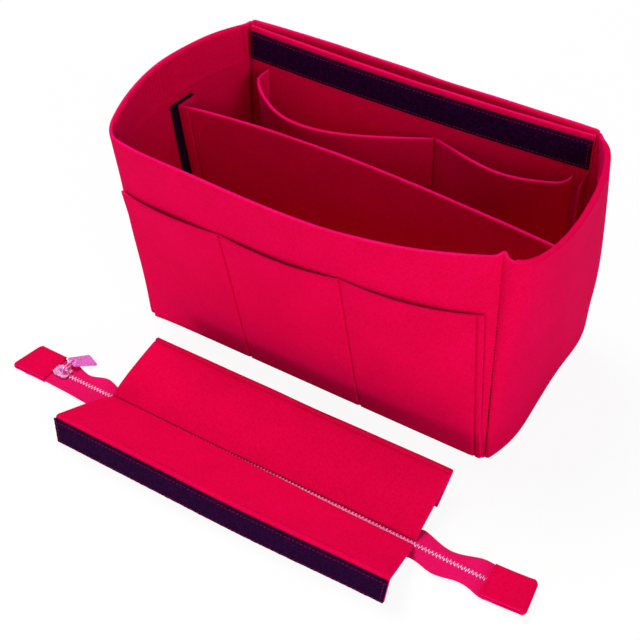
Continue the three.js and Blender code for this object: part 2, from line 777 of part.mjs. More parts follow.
function addSlider() {
  const slider = addMesh(lid, 'slider_body', sliderGeometry(), zipMetal);
  slider.position.set(-tabInner + sliderLength / 2 + clear, 0, chainHeight);
  const link = addMesh(slider, 'pull_link', linkGeometry(), zipMetal);
  link.position.set(bailShift, 0, bailAxis);
  const pull = addMesh(link, 'pull_plate', pullGeometry(), zipMetal);
  pull.position.set(0, linkPitch, 0);
  pull.rotation.x = -pullDroop;
}

addWalls();
addBase();
addBackLayer();
addFrontPocket();
addInnerPockets();
addFacings();
addLoopStrips();
addWallStrips();
addDivider();
addLidPanels();
addFlaps();
addTapes();
addTeeth();
addTabs();
addSlider();

export default organizer;
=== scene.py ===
# Felt purse organizer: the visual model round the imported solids, with camera, light and floor.
# Shapes are worked out in millimetres in the row frame and become metres when a mesh is made.
import math

import bmesh
import bpy
import numpy as np
from mathutils import Matrix, Vector


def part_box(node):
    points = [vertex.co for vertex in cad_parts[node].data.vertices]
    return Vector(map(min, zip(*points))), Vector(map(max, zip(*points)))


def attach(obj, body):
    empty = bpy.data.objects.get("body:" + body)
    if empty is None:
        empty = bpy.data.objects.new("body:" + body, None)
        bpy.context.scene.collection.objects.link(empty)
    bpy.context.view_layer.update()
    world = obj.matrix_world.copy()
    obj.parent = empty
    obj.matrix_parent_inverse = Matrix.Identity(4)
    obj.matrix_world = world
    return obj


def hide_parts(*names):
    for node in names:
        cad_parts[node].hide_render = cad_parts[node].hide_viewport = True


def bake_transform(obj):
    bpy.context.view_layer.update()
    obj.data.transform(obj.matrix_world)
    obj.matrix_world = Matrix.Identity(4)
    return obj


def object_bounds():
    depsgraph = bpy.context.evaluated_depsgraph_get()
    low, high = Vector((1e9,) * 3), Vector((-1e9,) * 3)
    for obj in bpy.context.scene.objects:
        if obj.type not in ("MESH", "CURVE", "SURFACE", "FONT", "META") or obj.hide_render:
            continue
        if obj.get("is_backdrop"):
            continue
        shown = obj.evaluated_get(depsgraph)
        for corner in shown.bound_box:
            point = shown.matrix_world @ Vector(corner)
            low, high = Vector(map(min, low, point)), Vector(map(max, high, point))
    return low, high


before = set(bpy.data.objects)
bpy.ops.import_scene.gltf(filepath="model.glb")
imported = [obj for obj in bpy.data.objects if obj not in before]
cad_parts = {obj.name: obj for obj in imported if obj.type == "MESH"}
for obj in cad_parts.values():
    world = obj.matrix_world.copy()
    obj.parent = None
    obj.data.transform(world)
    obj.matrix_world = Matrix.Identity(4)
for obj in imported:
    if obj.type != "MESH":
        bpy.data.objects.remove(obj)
solid_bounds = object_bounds()

MM = 0.001


def corners_mm(node):
    low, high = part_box(node)
    return np.array(low) / MM, np.array(high) / MM


# Sizes read off the frame
HEIGHT = corners_mm("front_panel")[1][2]
FELT = corners_mm("base_panel")[1][2]
POCKET_HEIGHT = corners_mm("front_pocket_panel")[1][2]
INNER_POCKET_LOW, INNER_POCKET_HIGH = corners_mm("inner_pocket_panel")
HEM_FOOT = corners_mm("left_rim_facing")[0][2]
LOOP_LOW = corners_mm("back_loop_strip")[0][2]
LOOP_HIGH = corners_mm("back_loop_strip")[1][2]
WALL_STRIP_FOOT = corners_mm("left_wall_strip")[0][2]
DIVIDER_FOOT = corners_mm("divider_panel")[0][2]
DIVIDER_TOP = corners_mm("divider_panel")[1][2]
WALL_STRIP_TOP = DIVIDER_TOP + 0.7  # it shows above the divider
LID_LOW, LID_HIGH = corners_mm("back_lid_panel")
TAB_LOW, TAB_HIGH = corners_mm("right_tab")

# Sheets
CLEAR = 0.3
POCKET_FELT = 2.5
HEM_FELT = 1.7
TAB_FELT = 2.0
STRIP = 1.6
LAYER_GAP = 0.1  # between layers that are pressed or sewn together
FLOOR_TOP = FELT + CLEAR
FLOOR_GAP = 0.05  # nothing reaches below this height
BASE_SEWN = 1  # how far the bottom panel goes into the walls

# Seams of the basket, at the base and at the rim
BASE_HALF = np.array([153.5, 78.0])
RIM_HALF = np.array([150.0, 80.0])
FRONT_LEFT_LEAN = np.array([-3.0, -24.0])  # of the front left seam at the rim
FRONT_BOW = (14, 53)
BACK_BOW = (3, 7)
BASE_END_HANDLE = (11, 13)
RIGHT_FRONT_HANDLE = (46, -17)
RIGHT_BACK_HANDLE = (32, 12)
LEFT_FRONT_HANDLE = (30, 57)
LEFT_BACK_HANDLE = (40, 58)
RIGHT_BELLY = 10.5
LEFT_BELLY = 8
BELLY_SKEW = 3
BELLY_RISE = 0.75
LONG_RUN = 300
LEFT_RUN = 184
RIGHT_RUN = 160
SEAM_DEPTH = 2.8  # how deep the two walls meet in a corner seam
SEAM_LEAD = 3.4  # where a wall begins to turn into the seam
SEAM_PEAK_WIDTH = 4  # the rim is drawn up this far from a seam
FRONT_RIGHT_PEAK = 2.6
END_PEAK = 1.8
BACK_PEAK = 0.3
WRAP = (6.5, 10)  # how far the left end goes round the front left corner, at the base and at the rim
WRAP_LEAD = (8, 16)
BACK_RIM_LIFT = 2.4  # how far the felt is cut above the nominal height
BACK_RIM_LOW = (0.45, 0.4)  # where along the back it isn't, and how far from there it is in full
LEFT_RIM_LIFT = 1.0
RIM_REACH = 40  # how far down a wall follows its rim
THREAD_RISE = 1.2  # of the corner thread above the depth of its seam

# Soft forms of the ends. A place is a middle and a reach along the run, a height the same upwards
FOOT_ROLL = 1.3  # the front right seam is drawn back at its foot
FOOT_ROLL_REACH, FOOT_ROLL_TOP = 14, 70
CORNER_TUCK = 2.5  # the right end's rim is drawn in beside the back right seam
CORNER_TUCK_PLACE, CORNER_TUCK_FOOT = (0.94, 0.06), 140
LOW_SWELL = 3.5  # the right end swells low down, towards the back
LOW_SWELL_PLACE, LOW_SWELL_HEIGHT = (0.8, 0.14), (25, 25)
FRONT_SWELL = 3  # and along its foot, towards the front
FRONT_SWELL_PLACE, FRONT_SWELL_HEIGHT = (0.3, 0.16), (0, 45)
LEFT_FOOT = 6  # the front left corner stands out at its foot
LEFT_FOOT_REACH, LEFT_FOOT_TOP = 12, 60
CORNER_SWELL = 5  # and the front's rim swells out beside it
CORNER_SWELL_REACH, CORNER_SWELL_FOOT = 0.1, 80
RIDGE = 1.3  # a soft crease runs up the right end
RIDGE_REACH, RIDGE_CREST = 12, 2
RIDGE_FOOT, RIDGE_LEAN = 0.63, -0.00152  # its place along the run, at the base and for each millimetre up
RIDGE_START, RIDGE_END = (5, 60), (130, 190)  # heights over which it begins and ends

# Back layers and pockets
SLIP_GAP = 8.5
BACK_INSET = 2
BACK_LIP = 6  # the inner layer's right end is turned in below the strip
BACK_LIP_REACH, BACK_LIP_FADE = 6, 20
BACK_LIP_TURN = 0.7  # how far it also goes to the left
FRONT_POCKET_START = (6.0, 4.2)  # from the front left corner, at the foot and at the mouth
FRONT_POCKET_END = (3.3, 8.6)  # from the right seam, at the foot and at the mouth
FRONT_POCKET_SEAMS = (98, 199)  # from the front left seam
FRONT_POCKET_MOUTH = (145, 147.6, 153, 148)  # heights at its left end, its seams and its right end
FRONT_POCKET_SAG = 1.5
FRONT_POCKET_FULLNESS, FRONT_POCKET_FULLNESS_RISE = 2.2, 2.2
FRONT_POCKET_SUNK, FRONT_POCKET_SUNK_TOP = 0.15, 0.3  # share of its layer at the foot, and of its height
FRONT_POCKET_EDGE = 12  # reach of its left edge, which isn't sunk
FRONT_POCKET_HEM = 5  # from the right edge to its stitches
POCKET_SEAM_DEPTH = 1.7
INNER_FELT = 3
INNER_STAND, INNER_STAND_REACH = 2, 25  # its right end stands off the back
INNER_SEAM = 25
INNER_BULGE = (39.5, 15.5)
INNER_BULGE_SKEW = (0.7, 1.2)
INNER_BULGE_RISE = 1.5
INNER_END_RISE = (10, 8)  # the mouth climbs at its left and right end
INNER_END_REACH = (3, 4)
# The left end bulges out past its own seam: distance from the end, and shift to the right
INNER_CURL = ((0, 1.5, 3, 6, 12, 22), (4, -2, -4.5, -4, -2, 0))

# Hems of the ends
HEM_ENDS = {"left": (12, 14), "right": (9, 12)}  # from the seams to the ends of each hem
HEM_DEPTH = 4.1  # of the hem's middle inside the wall's face
HEM_RADIUS = 1.5
HEM_AXIS = np.array([2.3, HEIGHT - 1.8])  # depth and height of the fold's axis
HEM_HIDDEN_END = np.array([[0.7, -6], [0.6, -5.6], [0.4, -4], [0.1, -1.5]])  # from where the fold begins
HEM_TURN = 8  # height over which it leaves the fold
HEM_PUCKER, HEM_PUCKER_PLACE, HEM_PUCKER_WAVE = 0.45, (0.55, 0.06), 1.5
HEM_LIP, HEM_LIP_REACH = 2.1, 2.2  # its lower edge stands off the wall

# Strips and divider
FRONT_STRIP_ENDS = 8 / LONG_RUN
BACK_STRIP_ENDS = 1 / LONG_RUN
DIVIDER_LEFT = 0.46
DIVIDER_RIGHT = 0.5
DIVIDER_BOW = 12
DIVIDER_BOW_SKEW = 0.8
DIVIDER_LENGTH = 320
DIVIDER_CREASE, DIVIDER_CREASE_DEPTH = 7, 0.9  # from the left bend
STRIP_WIDTH = 25
STRIP_LEAD = 5.5
PRESSED_STRIP = 1.1  # the divider's strips, pressed together
NAP = (-0.12, 0.18)  # how far a strip's loops stand off it
FLANGE = 20
FLANGE_RADIUS = 2.5

# Lid
LID_MIDDLE = np.array([(LID_LOW[0] + LID_HIGH[0]) / 2, (TAB_LOW[1] + TAB_HIGH[1]) / 2, 0])
LID_HALF = (LID_HIGH[0] - LID_LOW[0]) / 2
CHAIN_HEIGHT = (TAB_LOW[2] + TAB_HIGH[2]) / 2
GROOVE_HALF = 2.2
GROOVE_HEIGHTS = (12, 9)  # left and right end
# Reach and height of the fold, of the back half (1) and the front half (-1)
LID_FOLD = {1: (50, LID_HIGH[2]), -1: (47.3, corners_mm("front_lid_panel")[1][2])}
FRONT_FLARE = 7.5
FLAP_WIDTH = 26.4
FLAP_STRIP_EDGES = (-2.2, 24.5)  # from the flap's upper edge
FLAP_STRIP_INSET = {1: 3, -1: 0}  # from the flap's right end
FOLD_RADIUS = 2.4
FOLD_LINE, FOLD_LINE_DEPTH = 3.4, 1.6  # from the back fold to the line sewn beside it
CREASE_START, CREASE_END = (-3, -2), (1.5, -10)  # of the felt's turn at a flap: out and up from the fold
EDGE_TOP = 6.6  # height that the felt's edges droop to over the chain
EDGE_REACH = 9
EDGE_CLOSE = (2.15, 0.3)  # how far the edges close over the chain, at the left and right end
EDGE_OPENING = (0.3, 0.9)  # share of the length over which they open
# How far the felt's corners lie off a plain rectangle: left and right at the chain, then at the fold
LID_TRIM = {1: (0, 2, 6.5, 3), -1: (1, 3.6, 0.5, 2.5)}
LID_PUSH = {1: -1.5, -1: -4}  # and how far its fold lies to the back at the left end
LID_PUSH_END = (0.5, 1.1)  # share of the length over which that ends
FLAP_SLANT = {1: (0, 3), -1: (1.5, 3.5)}  # how far a flap's lower edge lies to the left, at both ends
FLAP_LEAN = {1: math.radians(30), -1: 0}  # the back flap is folded in under its panel

# Zip
TOOTH_PITCH = 2.8
CHAIN_END = -3.5
TAPE = 0.7
TAPE_INNER = 0.02
TAPE_HALF = 12.6
TAPE_FLAT = 5.9
TAPE_RAMP = 1.2
TAPE_TURN = 10
TAPE_LIFT = 0.9
TAPE_HELD = 12  # from a tab to where the tape's edge swings freely
TAIL_LEAD = 4
# Half width, wave, wave length and a crest's place of each tail's edge, by end and side
TAPE_WAVES = {
    (1, 1): (11.8, 2.6, 56, 131),
    (1, -1): (13.3, 2.2, 38, 157),
    (-1, 1): (11.4, 1.6, 34, -147),
    (-1, -1): (15.6, 1.6, 110, -125),
}
TAB_INNER = TAB_LOW[0] - LID_MIDDLE[0]
TAB_LENGTH = TAB_HIGH[0] - TAB_LOW[0]
TAB_WIDTH = TAB_HIGH[1] - TAB_LOW[1]
TAB_SHEAR = {1: (1.14, 1.03), -1: (1.07, 0.88)}  # share of the length at the front and back edge
TAB_LIFT = {1: 3.3, -1: 0}  # the right tab's outer end stands off the floor
TAB_LIFT_RISE = 1.5
TAB_STITCH = 3
TAB_CORNER = 3
TAPE_IN_TAB = 18
PULL_TURN = math.radians(-22)
PULL_SCALE = (1.15, 1.3, 1)
PULL_PIVOT = 1.1  # from its near edge to the link's bar
PULL_RECESS = (0.4, 0.25)  # width of the rim round its sunk face, and the depth
SHARP_EDGE = math.radians(30)  # edges of the metal from this angle on are rounded

# How a felt edge rounds off: distance from the edge and share of the half thickness there
EDGE_STEPS = np.array([0, 0.06, 0.22, 0.5])
EDGE_FULLNESS = np.array([0, 0.62, 0.9, 1.0])
FELT_STEP = 4
STRIP_STEP = 1.6
WAVE, SMALL_WAVE = 0.45, 0.3  # slow unevenness of the basket's felt, and of the divider's and lid's

# Photograph's view
AZIMUTH = math.radians(32.387)
ELEVATION = math.radians(43.393)
ROLL = math.radians(-0.668)
CAMERA_PLACE = (0.3721, -0.6477, 0.7108)
LENS = 69.849

# Light: each lamp's place, target, size and power
WORLD_LIGHT = 0.25
LAMPS = {
    "key": ((3.3, -1.7, 1.35), (0, 0, 0.1), 2.0, 68),
    "top": ((-1.4, 0.25, 3.75), (0, 0, 0), 1.6, 118),
    "fill": ((-0.53, -3.93, 0.65), (0, 0, 0.05), 1.2, 50),
}
FLOOR_HALF = 6
FLOOR_GLOW = 0.92  # share of the floor's white that doesn't take the shadow


# Curves and faces


def mix(a, b, share):
    return a + (b - a) * share


def at_height(pair, z):
    """A value between those at the base and at the rim."""
    return mix(*pair, z / HEIGHT)


def smoothstep(value, low, high):
    share = np.clip((value - low) / (high - low), 0, 1)
    return share * share * (3 - 2 * share)


def hump(value, middle, reach):
    return np.exp(-((value - middle) / reach) ** 2)


def bezier(a, b, c, d, u):
    v = 1 - u
    return v * v * v * a + 3 * v * v * u * b + 3 * v * u * u * c + u * u * u * d


def bend(start, corner, end, count):
    """Points on a smooth bend between two points, round a corner."""
    share = np.linspace(0, 1, count)[:, None]
    return (1 - share) ** 2 * start + 2 * share * (1 - share) * corner + share ** 2 * end


def unit(vectors):
    return vectors / np.linalg.norm(vectors, axis=-1, keepdims=True)


def point(x, y, z):
    return np.stack(np.broadcast_arrays(x, y, z), axis=-1).astype(float)


SEAMS = {
    "front_left": (BASE_HALF * (-1, -1), RIM_HALF * (-1, -1) + FRONT_LEFT_LEAN),
    "front_right": (BASE_HALF * (1, -1), RIM_HALF * (1, -1)),
    "back_right": (BASE_HALF * (1, 1), RIM_HALF * (1, 1)),
    "back_left": (BASE_HALF * (-1, 1), RIM_HALF * (-1, 1)),
}


def wall_face(start, end, stand, base_handles, rim_handles, belly=0, form=None):
    """Outer face of a wall between two seams, as a function of its run from 0 to 1 and the height."""

    def curve(level, handles, u, axis):
        first = mix(SEAMS[start][level], SEAMS[end][level], stand)[axis] + handles[0][axis]
        second = mix(SEAMS[end][level], SEAMS[start][level], stand)[axis] + handles[1][axis]
        return bezier(SEAMS[start][level][axis], first, second, SEAMS[end][level][axis], u)

    def face(u, z):
        u, z = np.broadcast_arrays(np.asarray(u, float), np.asarray(z, float))
        rise = z / HEIGHT
        x, y = (
            mix(curve(0, base_handles, u, axis), curve(1, rim_handles, u, axis), rise)
            for axis in (0, 1)
        )
        along = np.sin(math.pi * np.clip(u, 0, 1) ** BELLY_SKEW)
        x = x + belly * along * np.sin(math.pi * np.clip(rise, 0, 1) ** BELLY_RISE)
        out, back = form(u, z) if form else (0, 0)
        return point(x + out, y + back, z)

    return face


FLAT = ((0, 0), (0, 0))


def swell(first, second, side):
    """Handles of an end wall, which leave its two seams outwards and towards each other."""
    return ((side * first[0], side * first[1]), (side * second[0], -side * second[1]))


def foot_roll(away, z):
    """How far the front right corner's foot is drawn back, a distance away from its seam."""
    near = np.clip(1 - np.abs(away) / FOOT_ROLL_REACH, 0, 1)
    return FOOT_ROLL * near ** 2 * np.clip(1 - z / FOOT_ROLL_TOP, 0, 1) ** 2


def left_foot(away, z):
    near = np.exp(-np.abs(away) / LEFT_FOOT_REACH)
    return -LEFT_FOOT * near * np.clip(1 - z / LEFT_FOOT_TOP, 0, 1) ** 2


def corner_swell(u, z):
    share = np.clip(u, 0, 1) / CORNER_SWELL_REACH
    return -CORNER_SWELL * share * np.exp(1 - share) * smoothstep(z, CORNER_SWELL_FOOT, HEIGHT)


def front_form(u, z):
    return left_foot(u * LONG_RUN, z), foot_roll((1 - u) * LONG_RUN, z) + corner_swell(u, z)


def right_form(u, z):
    from_ridge = (u - RIDGE_FOOT - RIDGE_LEAN * z) * RIGHT_RUN
    seen = smoothstep(z, *RIDGE_START) * (1 - smoothstep(z, *RIDGE_END))
    ridge = RIDGE * np.exp(-np.hypot(from_ridge, RIDGE_CREST) / RIDGE_REACH) * seen
    tuck = CORNER_TUCK * hump(u, *CORNER_TUCK_PLACE) * smoothstep(z, CORNER_TUCK_FOOT, HEIGHT)
    low = LOW_SWELL * hump(u, *LOW_SWELL_PLACE) * hump(z, *LOW_SWELL_HEIGHT)
    foot = FRONT_SWELL * hump(u, *FRONT_SWELL_PLACE) * hump(z, *FRONT_SWELL_HEIGHT)
    return ridge - tuck + low + foot, foot_roll(u * RIGHT_RUN, z)


def left_form(u, z):
    return left_foot((1 - u) * LEFT_RUN, z), 0


front_face = wall_face(
    "front_left", "front_right", 1 / 3, FLAT, ((0, -FRONT_BOW[0]), (0, -FRONT_BOW[1])), 0, front_form,
)
right_face = wall_face(
    "front_right", "back_right", 0, swell(BASE_END_HANDLE, BASE_END_HANDLE, 1),
    swell(RIGHT_FRONT_HANDLE, RIGHT_BACK_HANDLE, 1), RIGHT_BELLY, right_form,
)
slip_face = wall_face("back_right", "back_left", 1 / 3, FLAT, ((0, BACK_BOW[0]), (0, BACK_BOW[1])))
left_face = wall_face(
    "back_left", "front_left", 0, swell(BASE_END_HANDLE, BASE_END_HANDLE, -1),
    swell(LEFT_BACK_HANDLE, LEFT_FRONT_HANDLE, -1), -LEFT_BELLY, left_form,
)


def back_half(z):
    return at_height((BASE_HALF[0], RIM_HALF[0]), z) - BACK_INSET


def back_layer_rear(x, z):
    """Rear side of the back's inner layer, which leaves a slip pocket behind it."""
    u = (back_half(z) - x) / (2 * back_half(z))
    base = BASE_HALF[1] - FLOOR_TOP
    end = RIM_HALF[1] - FLOOR_TOP
    handle = end - (SLIP_GAP * 4 / 3 - sum(BACK_BOW) / 2)
    return mix(base, bezier(end, handle, handle, end, u), z / HEIGHT)


def back_face(u, z):
    u, z = np.broadcast_arrays(np.asarray(u, float), np.asarray(z, float))
    x = mix(back_half(z), -back_half(z), u)
    turned = np.clip(1 - (back_half(z) - x) / BACK_LIP_REACH, 0, 1.2) ** 2
    lip = BACK_LIP * turned * (1 - smoothstep(z, LOOP_LOW - BACK_LIP_FADE, LOOP_LOW))
    return point(x - BACK_LIP_TURN * lip, back_layer_rear(x, z) - lip, z)


def plan_tangent(face, u, z):
    step = 1e-3
    tangent = face(u + step, z) - face(u - step, z)
    tangent[..., 2] = 0
    return unit(tangent)


def plan_normal(face, u, z):
    tangent = plan_tangent(face, u, z)
    return point(tangent[..., 1], -tangent[..., 0], np.zeros_like(tangent[..., 0]))


def inside(face, depth):
    """The face a depth inside another one."""
    return lambda u, z: face(u, z) - plan_normal(face, u, z) * np.asarray(depth)[..., None]


# Grids of points


def run_places(low, high, step, thickness):
    """Distances from low to high at about a step, with extra ones where the edges round off."""
    rings = EDGE_STEPS * thickness
    count = max(2, round((high - low - 2 * rings[-1]) / step) + 1)
    middle = np.linspace(low + rings[-1], high - rings[-1], count)
    return np.concatenate([low + rings[:-1], middle, high - rings[-2::-1]])


def finer(places, marks):
    """Adds close places on both sides of each mark."""
    steps = np.array([0, 0.45, 0.9, 1.5, 2.3])
    kept = [place for place in places if all(abs(place - mark) > steps[-1] + 0.4 for mark in marks)]
    extra = [mark + side * step for mark in marks for side in (-1, 1) for step in steps]
    return np.unique(np.round(np.concatenate([kept, extra]), 6))


def groove(places, marks, depth, width=0.8):
    return sum(depth * hump(places, mark, width) for mark in marks)


def nearest(places, place):
    return int(np.argmin(np.abs(places - place)))


def path_lengths(points):
    return np.append(0, np.cumsum(np.linalg.norm(np.diff(points, axis=0), axis=1)))


def along_path(places, lengths, points):
    return np.stack([np.interp(places, lengths, points[:, axis]) for axis in range(3)], axis=-1)


def run_lengths(face, z, span):
    """Places u along a face at one height, and their distances from the start of a span."""
    u = np.linspace(*span, 240)
    return u, path_lengths(face(u, np.full_like(u, z)))


def face_grid(face, span, levels, step, thickness):
    """Points of a face, row by row, with the columns at even distances."""
    nominal = run_lengths(face, levels[-1], span)[1][-1]
    shares = run_places(0, nominal, step, thickness)
    edge = EDGE_STEPS[-1] * thickness
    rows = []
    for z in levels:
        u, lengths = run_lengths(face, z, span)
        stretched = mix(edge, lengths[-1] - edge, (shares - edge) / (nominal - 2 * edge))
        places = np.where(shares < edge, shares, stretched)
        places = np.where(shares > nominal - edge, lengths[-1] - (nominal - shares), places)
        rows.append(face(np.interp(places, lengths, u), np.full_like(places, z)))
    return np.array(rows)


def ripple(points, size, seed):
    """Slow unevenness of a felt sheet, in millimetres, the same each time."""
    x, y, z = (points[..., k] for k in range(3))
    first = np.sin(x / 19 + z / 31 + seed)
    second = np.sin(y / 17 - z / 23 + 2 * seed)
    third = np.sin((x + y) / 11 + z / 13 - seed)
    return size * (first + second + third) / 3


def grid_normals(middle):
    along = np.gradient(middle, axis=1)
    up = np.gradient(middle, axis=0)
    return unit(np.cross(along, up))


def rippled(middle, size, seed):
    """The sheet with slow unevenness, which fades out at its edges."""
    rows, columns = middle.shape[:2]
    fade = np.minimum.outer(
        np.sin(np.linspace(0, math.pi, rows)) ** 0.3, np.sin(np.linspace(0, math.pi, columns)) ** 0.5
    )
    return middle + grid_normals(middle) * (ripple(middle, size, seed) * np.abs(fade))[..., None]


def edge_fullness(count, square_start, square_end):
    share = np.ones(count)
    share[0] = share[-1] = 0
    if not square_start:
        share[: len(EDGE_FULLNESS)] = EDGE_FULLNESS
    if not square_end:
        share[-len(EDGE_FULLNESS):] = EDGE_FULLNESS[::-1]
    return share


# Meshes


def new_object(name, data):
    made = bpy.data.objects.new(name, data)
    bpy.context.collection.objects.link(made)
    return made


def new_piece(name, vertices, faces, material, edge=None):
    vertices = np.array(vertices, float)
    vertices[:, 2] = np.maximum(vertices[:, 2], FLOOR_GAP)
    mesh = bpy.data.meshes.new(name)
    mesh.from_pydata((vertices * MM).tolist(), [], faces)
    mesh.polygons.foreach_set("use_smooth", [True] * len(mesh.polygons))
    if edge is not None:
        attribute = mesh.attributes.new("cut_edge", "FLOAT", "POINT")
        attribute.data.foreach_set("value", np.asarray(edge, np.float32))
    mesh.materials.append(material)
    mesh.update()
    return new_object(name, mesh)


def sheet_piece(name, middle, thickness, material, dent=0.0, nap=0.0, square=()):
    """A sheet round a grid of its middle points. dent presses its front side in.

    Its edges are rounded, apart from those named as square: foot, start, end.
    """
    rows, columns = middle.shape[:2]
    normal = grid_normals(middle)
    up = edge_fullness(rows, "foot" in square, False)
    along = edge_fullness(columns, "start" in square, "end" in square)
    full = np.minimum.outer(up, along)
    out = full * thickness / 2
    front = middle + normal * (out + (nap - dent) * full)[..., None]
    back = middle - normal * out[..., None]
    index = np.arange(rows * columns).reshape(rows, columns)
    inner = np.zeros((rows, columns), bool)
    inner[1:-1, 1:-1] = True
    behind = index.copy()
    behind[inner] = rows * columns + np.arange(inner.sum())
    vertices = np.concatenate([front.reshape(-1, 3), back[inner]])
    edge = np.concatenate([(1 - full).reshape(-1), (1 - full)[inner]])

    def quads(at):
        return np.stack([at[:-1, :-1], at[:-1, 1:], at[1:, 1:], at[1:, :-1]], axis=-1).reshape(-1, 4)

    faces = np.concatenate([quads(index), quads(behind)[:, ::-1]])
    return new_piece(name, vertices, faces.tolist(), material, edge)


def place_piece(piece, body, slot, *nodes):
    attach(piece, body)
    if nodes:
        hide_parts(*nodes)
    return piece


STITCH_SIDES = 6
# Place along a stitch, share of its radius, and height in radii
STITCH_RINGS = ((-0.5, 0.15, -1.0), (-0.36, 0.85, -0.1), (0, 1, 0.25), (0.36, 0.85, -0.1), (0.5, 0.15, -1.0))


def tube_faces(first, rings, sides):
    """Faces of a closed tube of rings of points."""
    faces = []
    for ring in range(rings - 1):
        for k in range(sides):
            a = first + ring * sides + k
            b = first + ring * sides + (k + 1) % sides
            faces.append((a, b, b + sides, a + sides))
    last = first + (rings - 1) * sides
    faces.append(tuple(range(first, first + sides))[::-1])
    faces.append(tuple(range(last, last + sides)))
    return faces


def add_stitches(name, body, slot, paths, material, pitch=3.2, stitch=2.3, radius=0.28):
    """Stitches along paths of points with the surface's normals: short capsules that dip in at both ends."""
    turns = np.arange(STITCH_SIDES) * 2 * math.pi / STITCH_SIDES
    vertices, faces = [], []
    for points, normals in paths:
        lengths = path_lengths(points)
        count = int(lengths[-1] // pitch)
        for k in range(count):
            place = (k + 0.5) * lengths[-1] / count
            middle = along_path(place, lengths, points)
            lift = along_path(place, lengths, normals)
            run = unit(along_path(place + 0.5, lengths, points) - middle)
            side = unit(np.cross(lift, run))
            faces += tube_faces(len(vertices), len(STITCH_RINGS), STITCH_SIDES)
            for along, wide, rise in STITCH_RINGS:
                centre = middle + run * along * stitch + lift * rise * radius
                for turn in turns:
                    vertices.append(centre + radius * wide * (side * math.cos(turn) + lift * math.sin(turn)))
    return place_piece(new_piece(name, vertices, faces, material), body, slot)


def column_path(middle, columns, lift):
    """Points and normals up a sheet, at one column for each row, on its front side."""
    picked = np.arange(len(middle)), columns
    normals = grid_normals(middle)[picked]
    return middle[picked] + normals * lift, normals


# Materials


def new_material(name, roughness):
    material = bpy.data.materials.new(name)
    material.use_nodes = True
    shader = material.node_tree.nodes["Principled BSDF"]
    shader.inputs["Roughness"].default_value = roughness
    return material, shader


def add_node(material, kind, **settings):
    node = material.node_tree.nodes.new(kind)
    for key, value in settings.items():
        if key in node.inputs:
            node.inputs[key].default_value = value
        else:
            setattr(node, key, value)
    return node


def link(material, output, socket):
    material.node_tree.links.new(output, socket)


def noise(material, scale, detail, distortion=0.0, stretch=None):
    coordinates = add_node(material, "ShaderNodeTexCoord")
    texture = add_node(material, "ShaderNodeTexNoise", Scale=scale, Detail=detail, Distortion=distortion)
    source = coordinates.outputs["Object"]
    if stretch:
        mapping = add_node(material, "ShaderNodeMapping", Scale=stretch)
        link(material, source, mapping.inputs["Vector"])
        source = mapping.outputs["Vector"]
    link(material, source, texture.inputs["Vector"])
    return texture.outputs["Fac"]


def ramp(material, source, stops):
    node = add_node(material, "ShaderNodeValToRGB")
    elements = node.color_ramp.elements
    while len(elements) < len(stops):
        elements.new(0.5)
    for element, (place, colour) in zip(elements, stops):
        element.position = place
        element.color = (*colour, 1)
    link(material, source, node.inputs["Fac"])
    return node.outputs["Color"]


def blend_colours(material, mode, factor, first, second):
    node = add_node(material, "ShaderNodeMix", data_type="RGBA", blend_type=mode)
    if isinstance(factor, float):
        node.inputs[0].default_value = factor
    else:
        link(material, factor, node.inputs[0])
    link(material, first, node.inputs[6])
    link(material, second, node.inputs[7])
    return node.outputs[2]


def dressed(material, shader, colour, height, strength, distance):
    """The material with its colour, and with a bump from a height."""
    bump = add_node(material, "ShaderNodeBump", Strength=strength, Distance=distance)
    link(material, colour, shader.inputs["Base Color"])
    link(material, height, bump.inputs["Height"])
    link(material, bump.outputs["Normal"], shader.inputs["Normal"])
    return material


def set_cloth_gloss(shader, sheen, tint, specular):
    shader.inputs["Sheen Weight"].default_value = sheen
    shader.inputs["Sheen Roughness"].default_value = 0.45
    shader.inputs["Sheen Tint"].default_value = (*tint, 1)
    shader.inputs["Specular IOR Level"].default_value = specular


def felt_material():
    """Pressed fibre: fine flecks, slow blotches, a fibrous bump, and a painted highlight along cut edges,
    which are coloured brighter and pinker.
    """
    material, shader = new_material("felt", 0.95)
    set_cloth_gloss(shader, 0.13, (0.9, 0.0, 0.6), 0.02)
    fleck = noise(material, 700, 5, 1.2)
    deep, mid, light = (0.65, 0.0004, 0.033), (0.715, 0.0006, 0.056), (0.78, 0.001, 0.092)
    flecks = ramp(material, fleck, [(0.3, deep), (0.5, mid), (0.72, light)])
    blotch = ramp(material, noise(material, 28, 3), [(0.3, (0.93, 0.9, 0.88)), (0.7, (1, 1, 1))])
    colour = blend_colours(material, "MULTIPLY", 1.0, flecks, blotch)
    edge = add_node(material, "ShaderNodeAttribute", attribute_name="cut_edge")
    # Painted highlight: this brighter, pinker colour is mixed in along cut edges, standing in for the light
    # they catch.
    edge_highlight = ramp(material, fleck, [(0.3, (0.76, 0.001, 0.085)), (0.7, (0.86, 0.004, 0.15))])
    shade = ramp(material, edge.outputs["Fac"], [(0.05, (0, 0, 0)), (0.6, (1, 1, 1))])
    colour = blend_colours(material, "MIX", shade, colour, edge_highlight)
    return dressed(material, shader, colour, noise(material, 1600, 6, 2.5), 0.35, 0.0006)


def strip_material():
    """Dark napped strip: uneven loops and a faint purple bloom."""
    material, shader = new_material("hook_loop", 0.9)
    set_cloth_gloss(shader, 0.03, (0.5, 0.02, 0.6), 0.02)
    loops = noise(material, 650, 5, 1.0)
    dark, mid, light = (0.005, 0.0003, 0.008), (0.017, 0.0008, 0.024), (0.052, 0.002, 0.06)
    colour = ramp(material, loops, [(0.3, dark), (0.55, mid), (0.8, light)])
    return dressed(material, shader, colour, loops, 0.8, 0.0008)


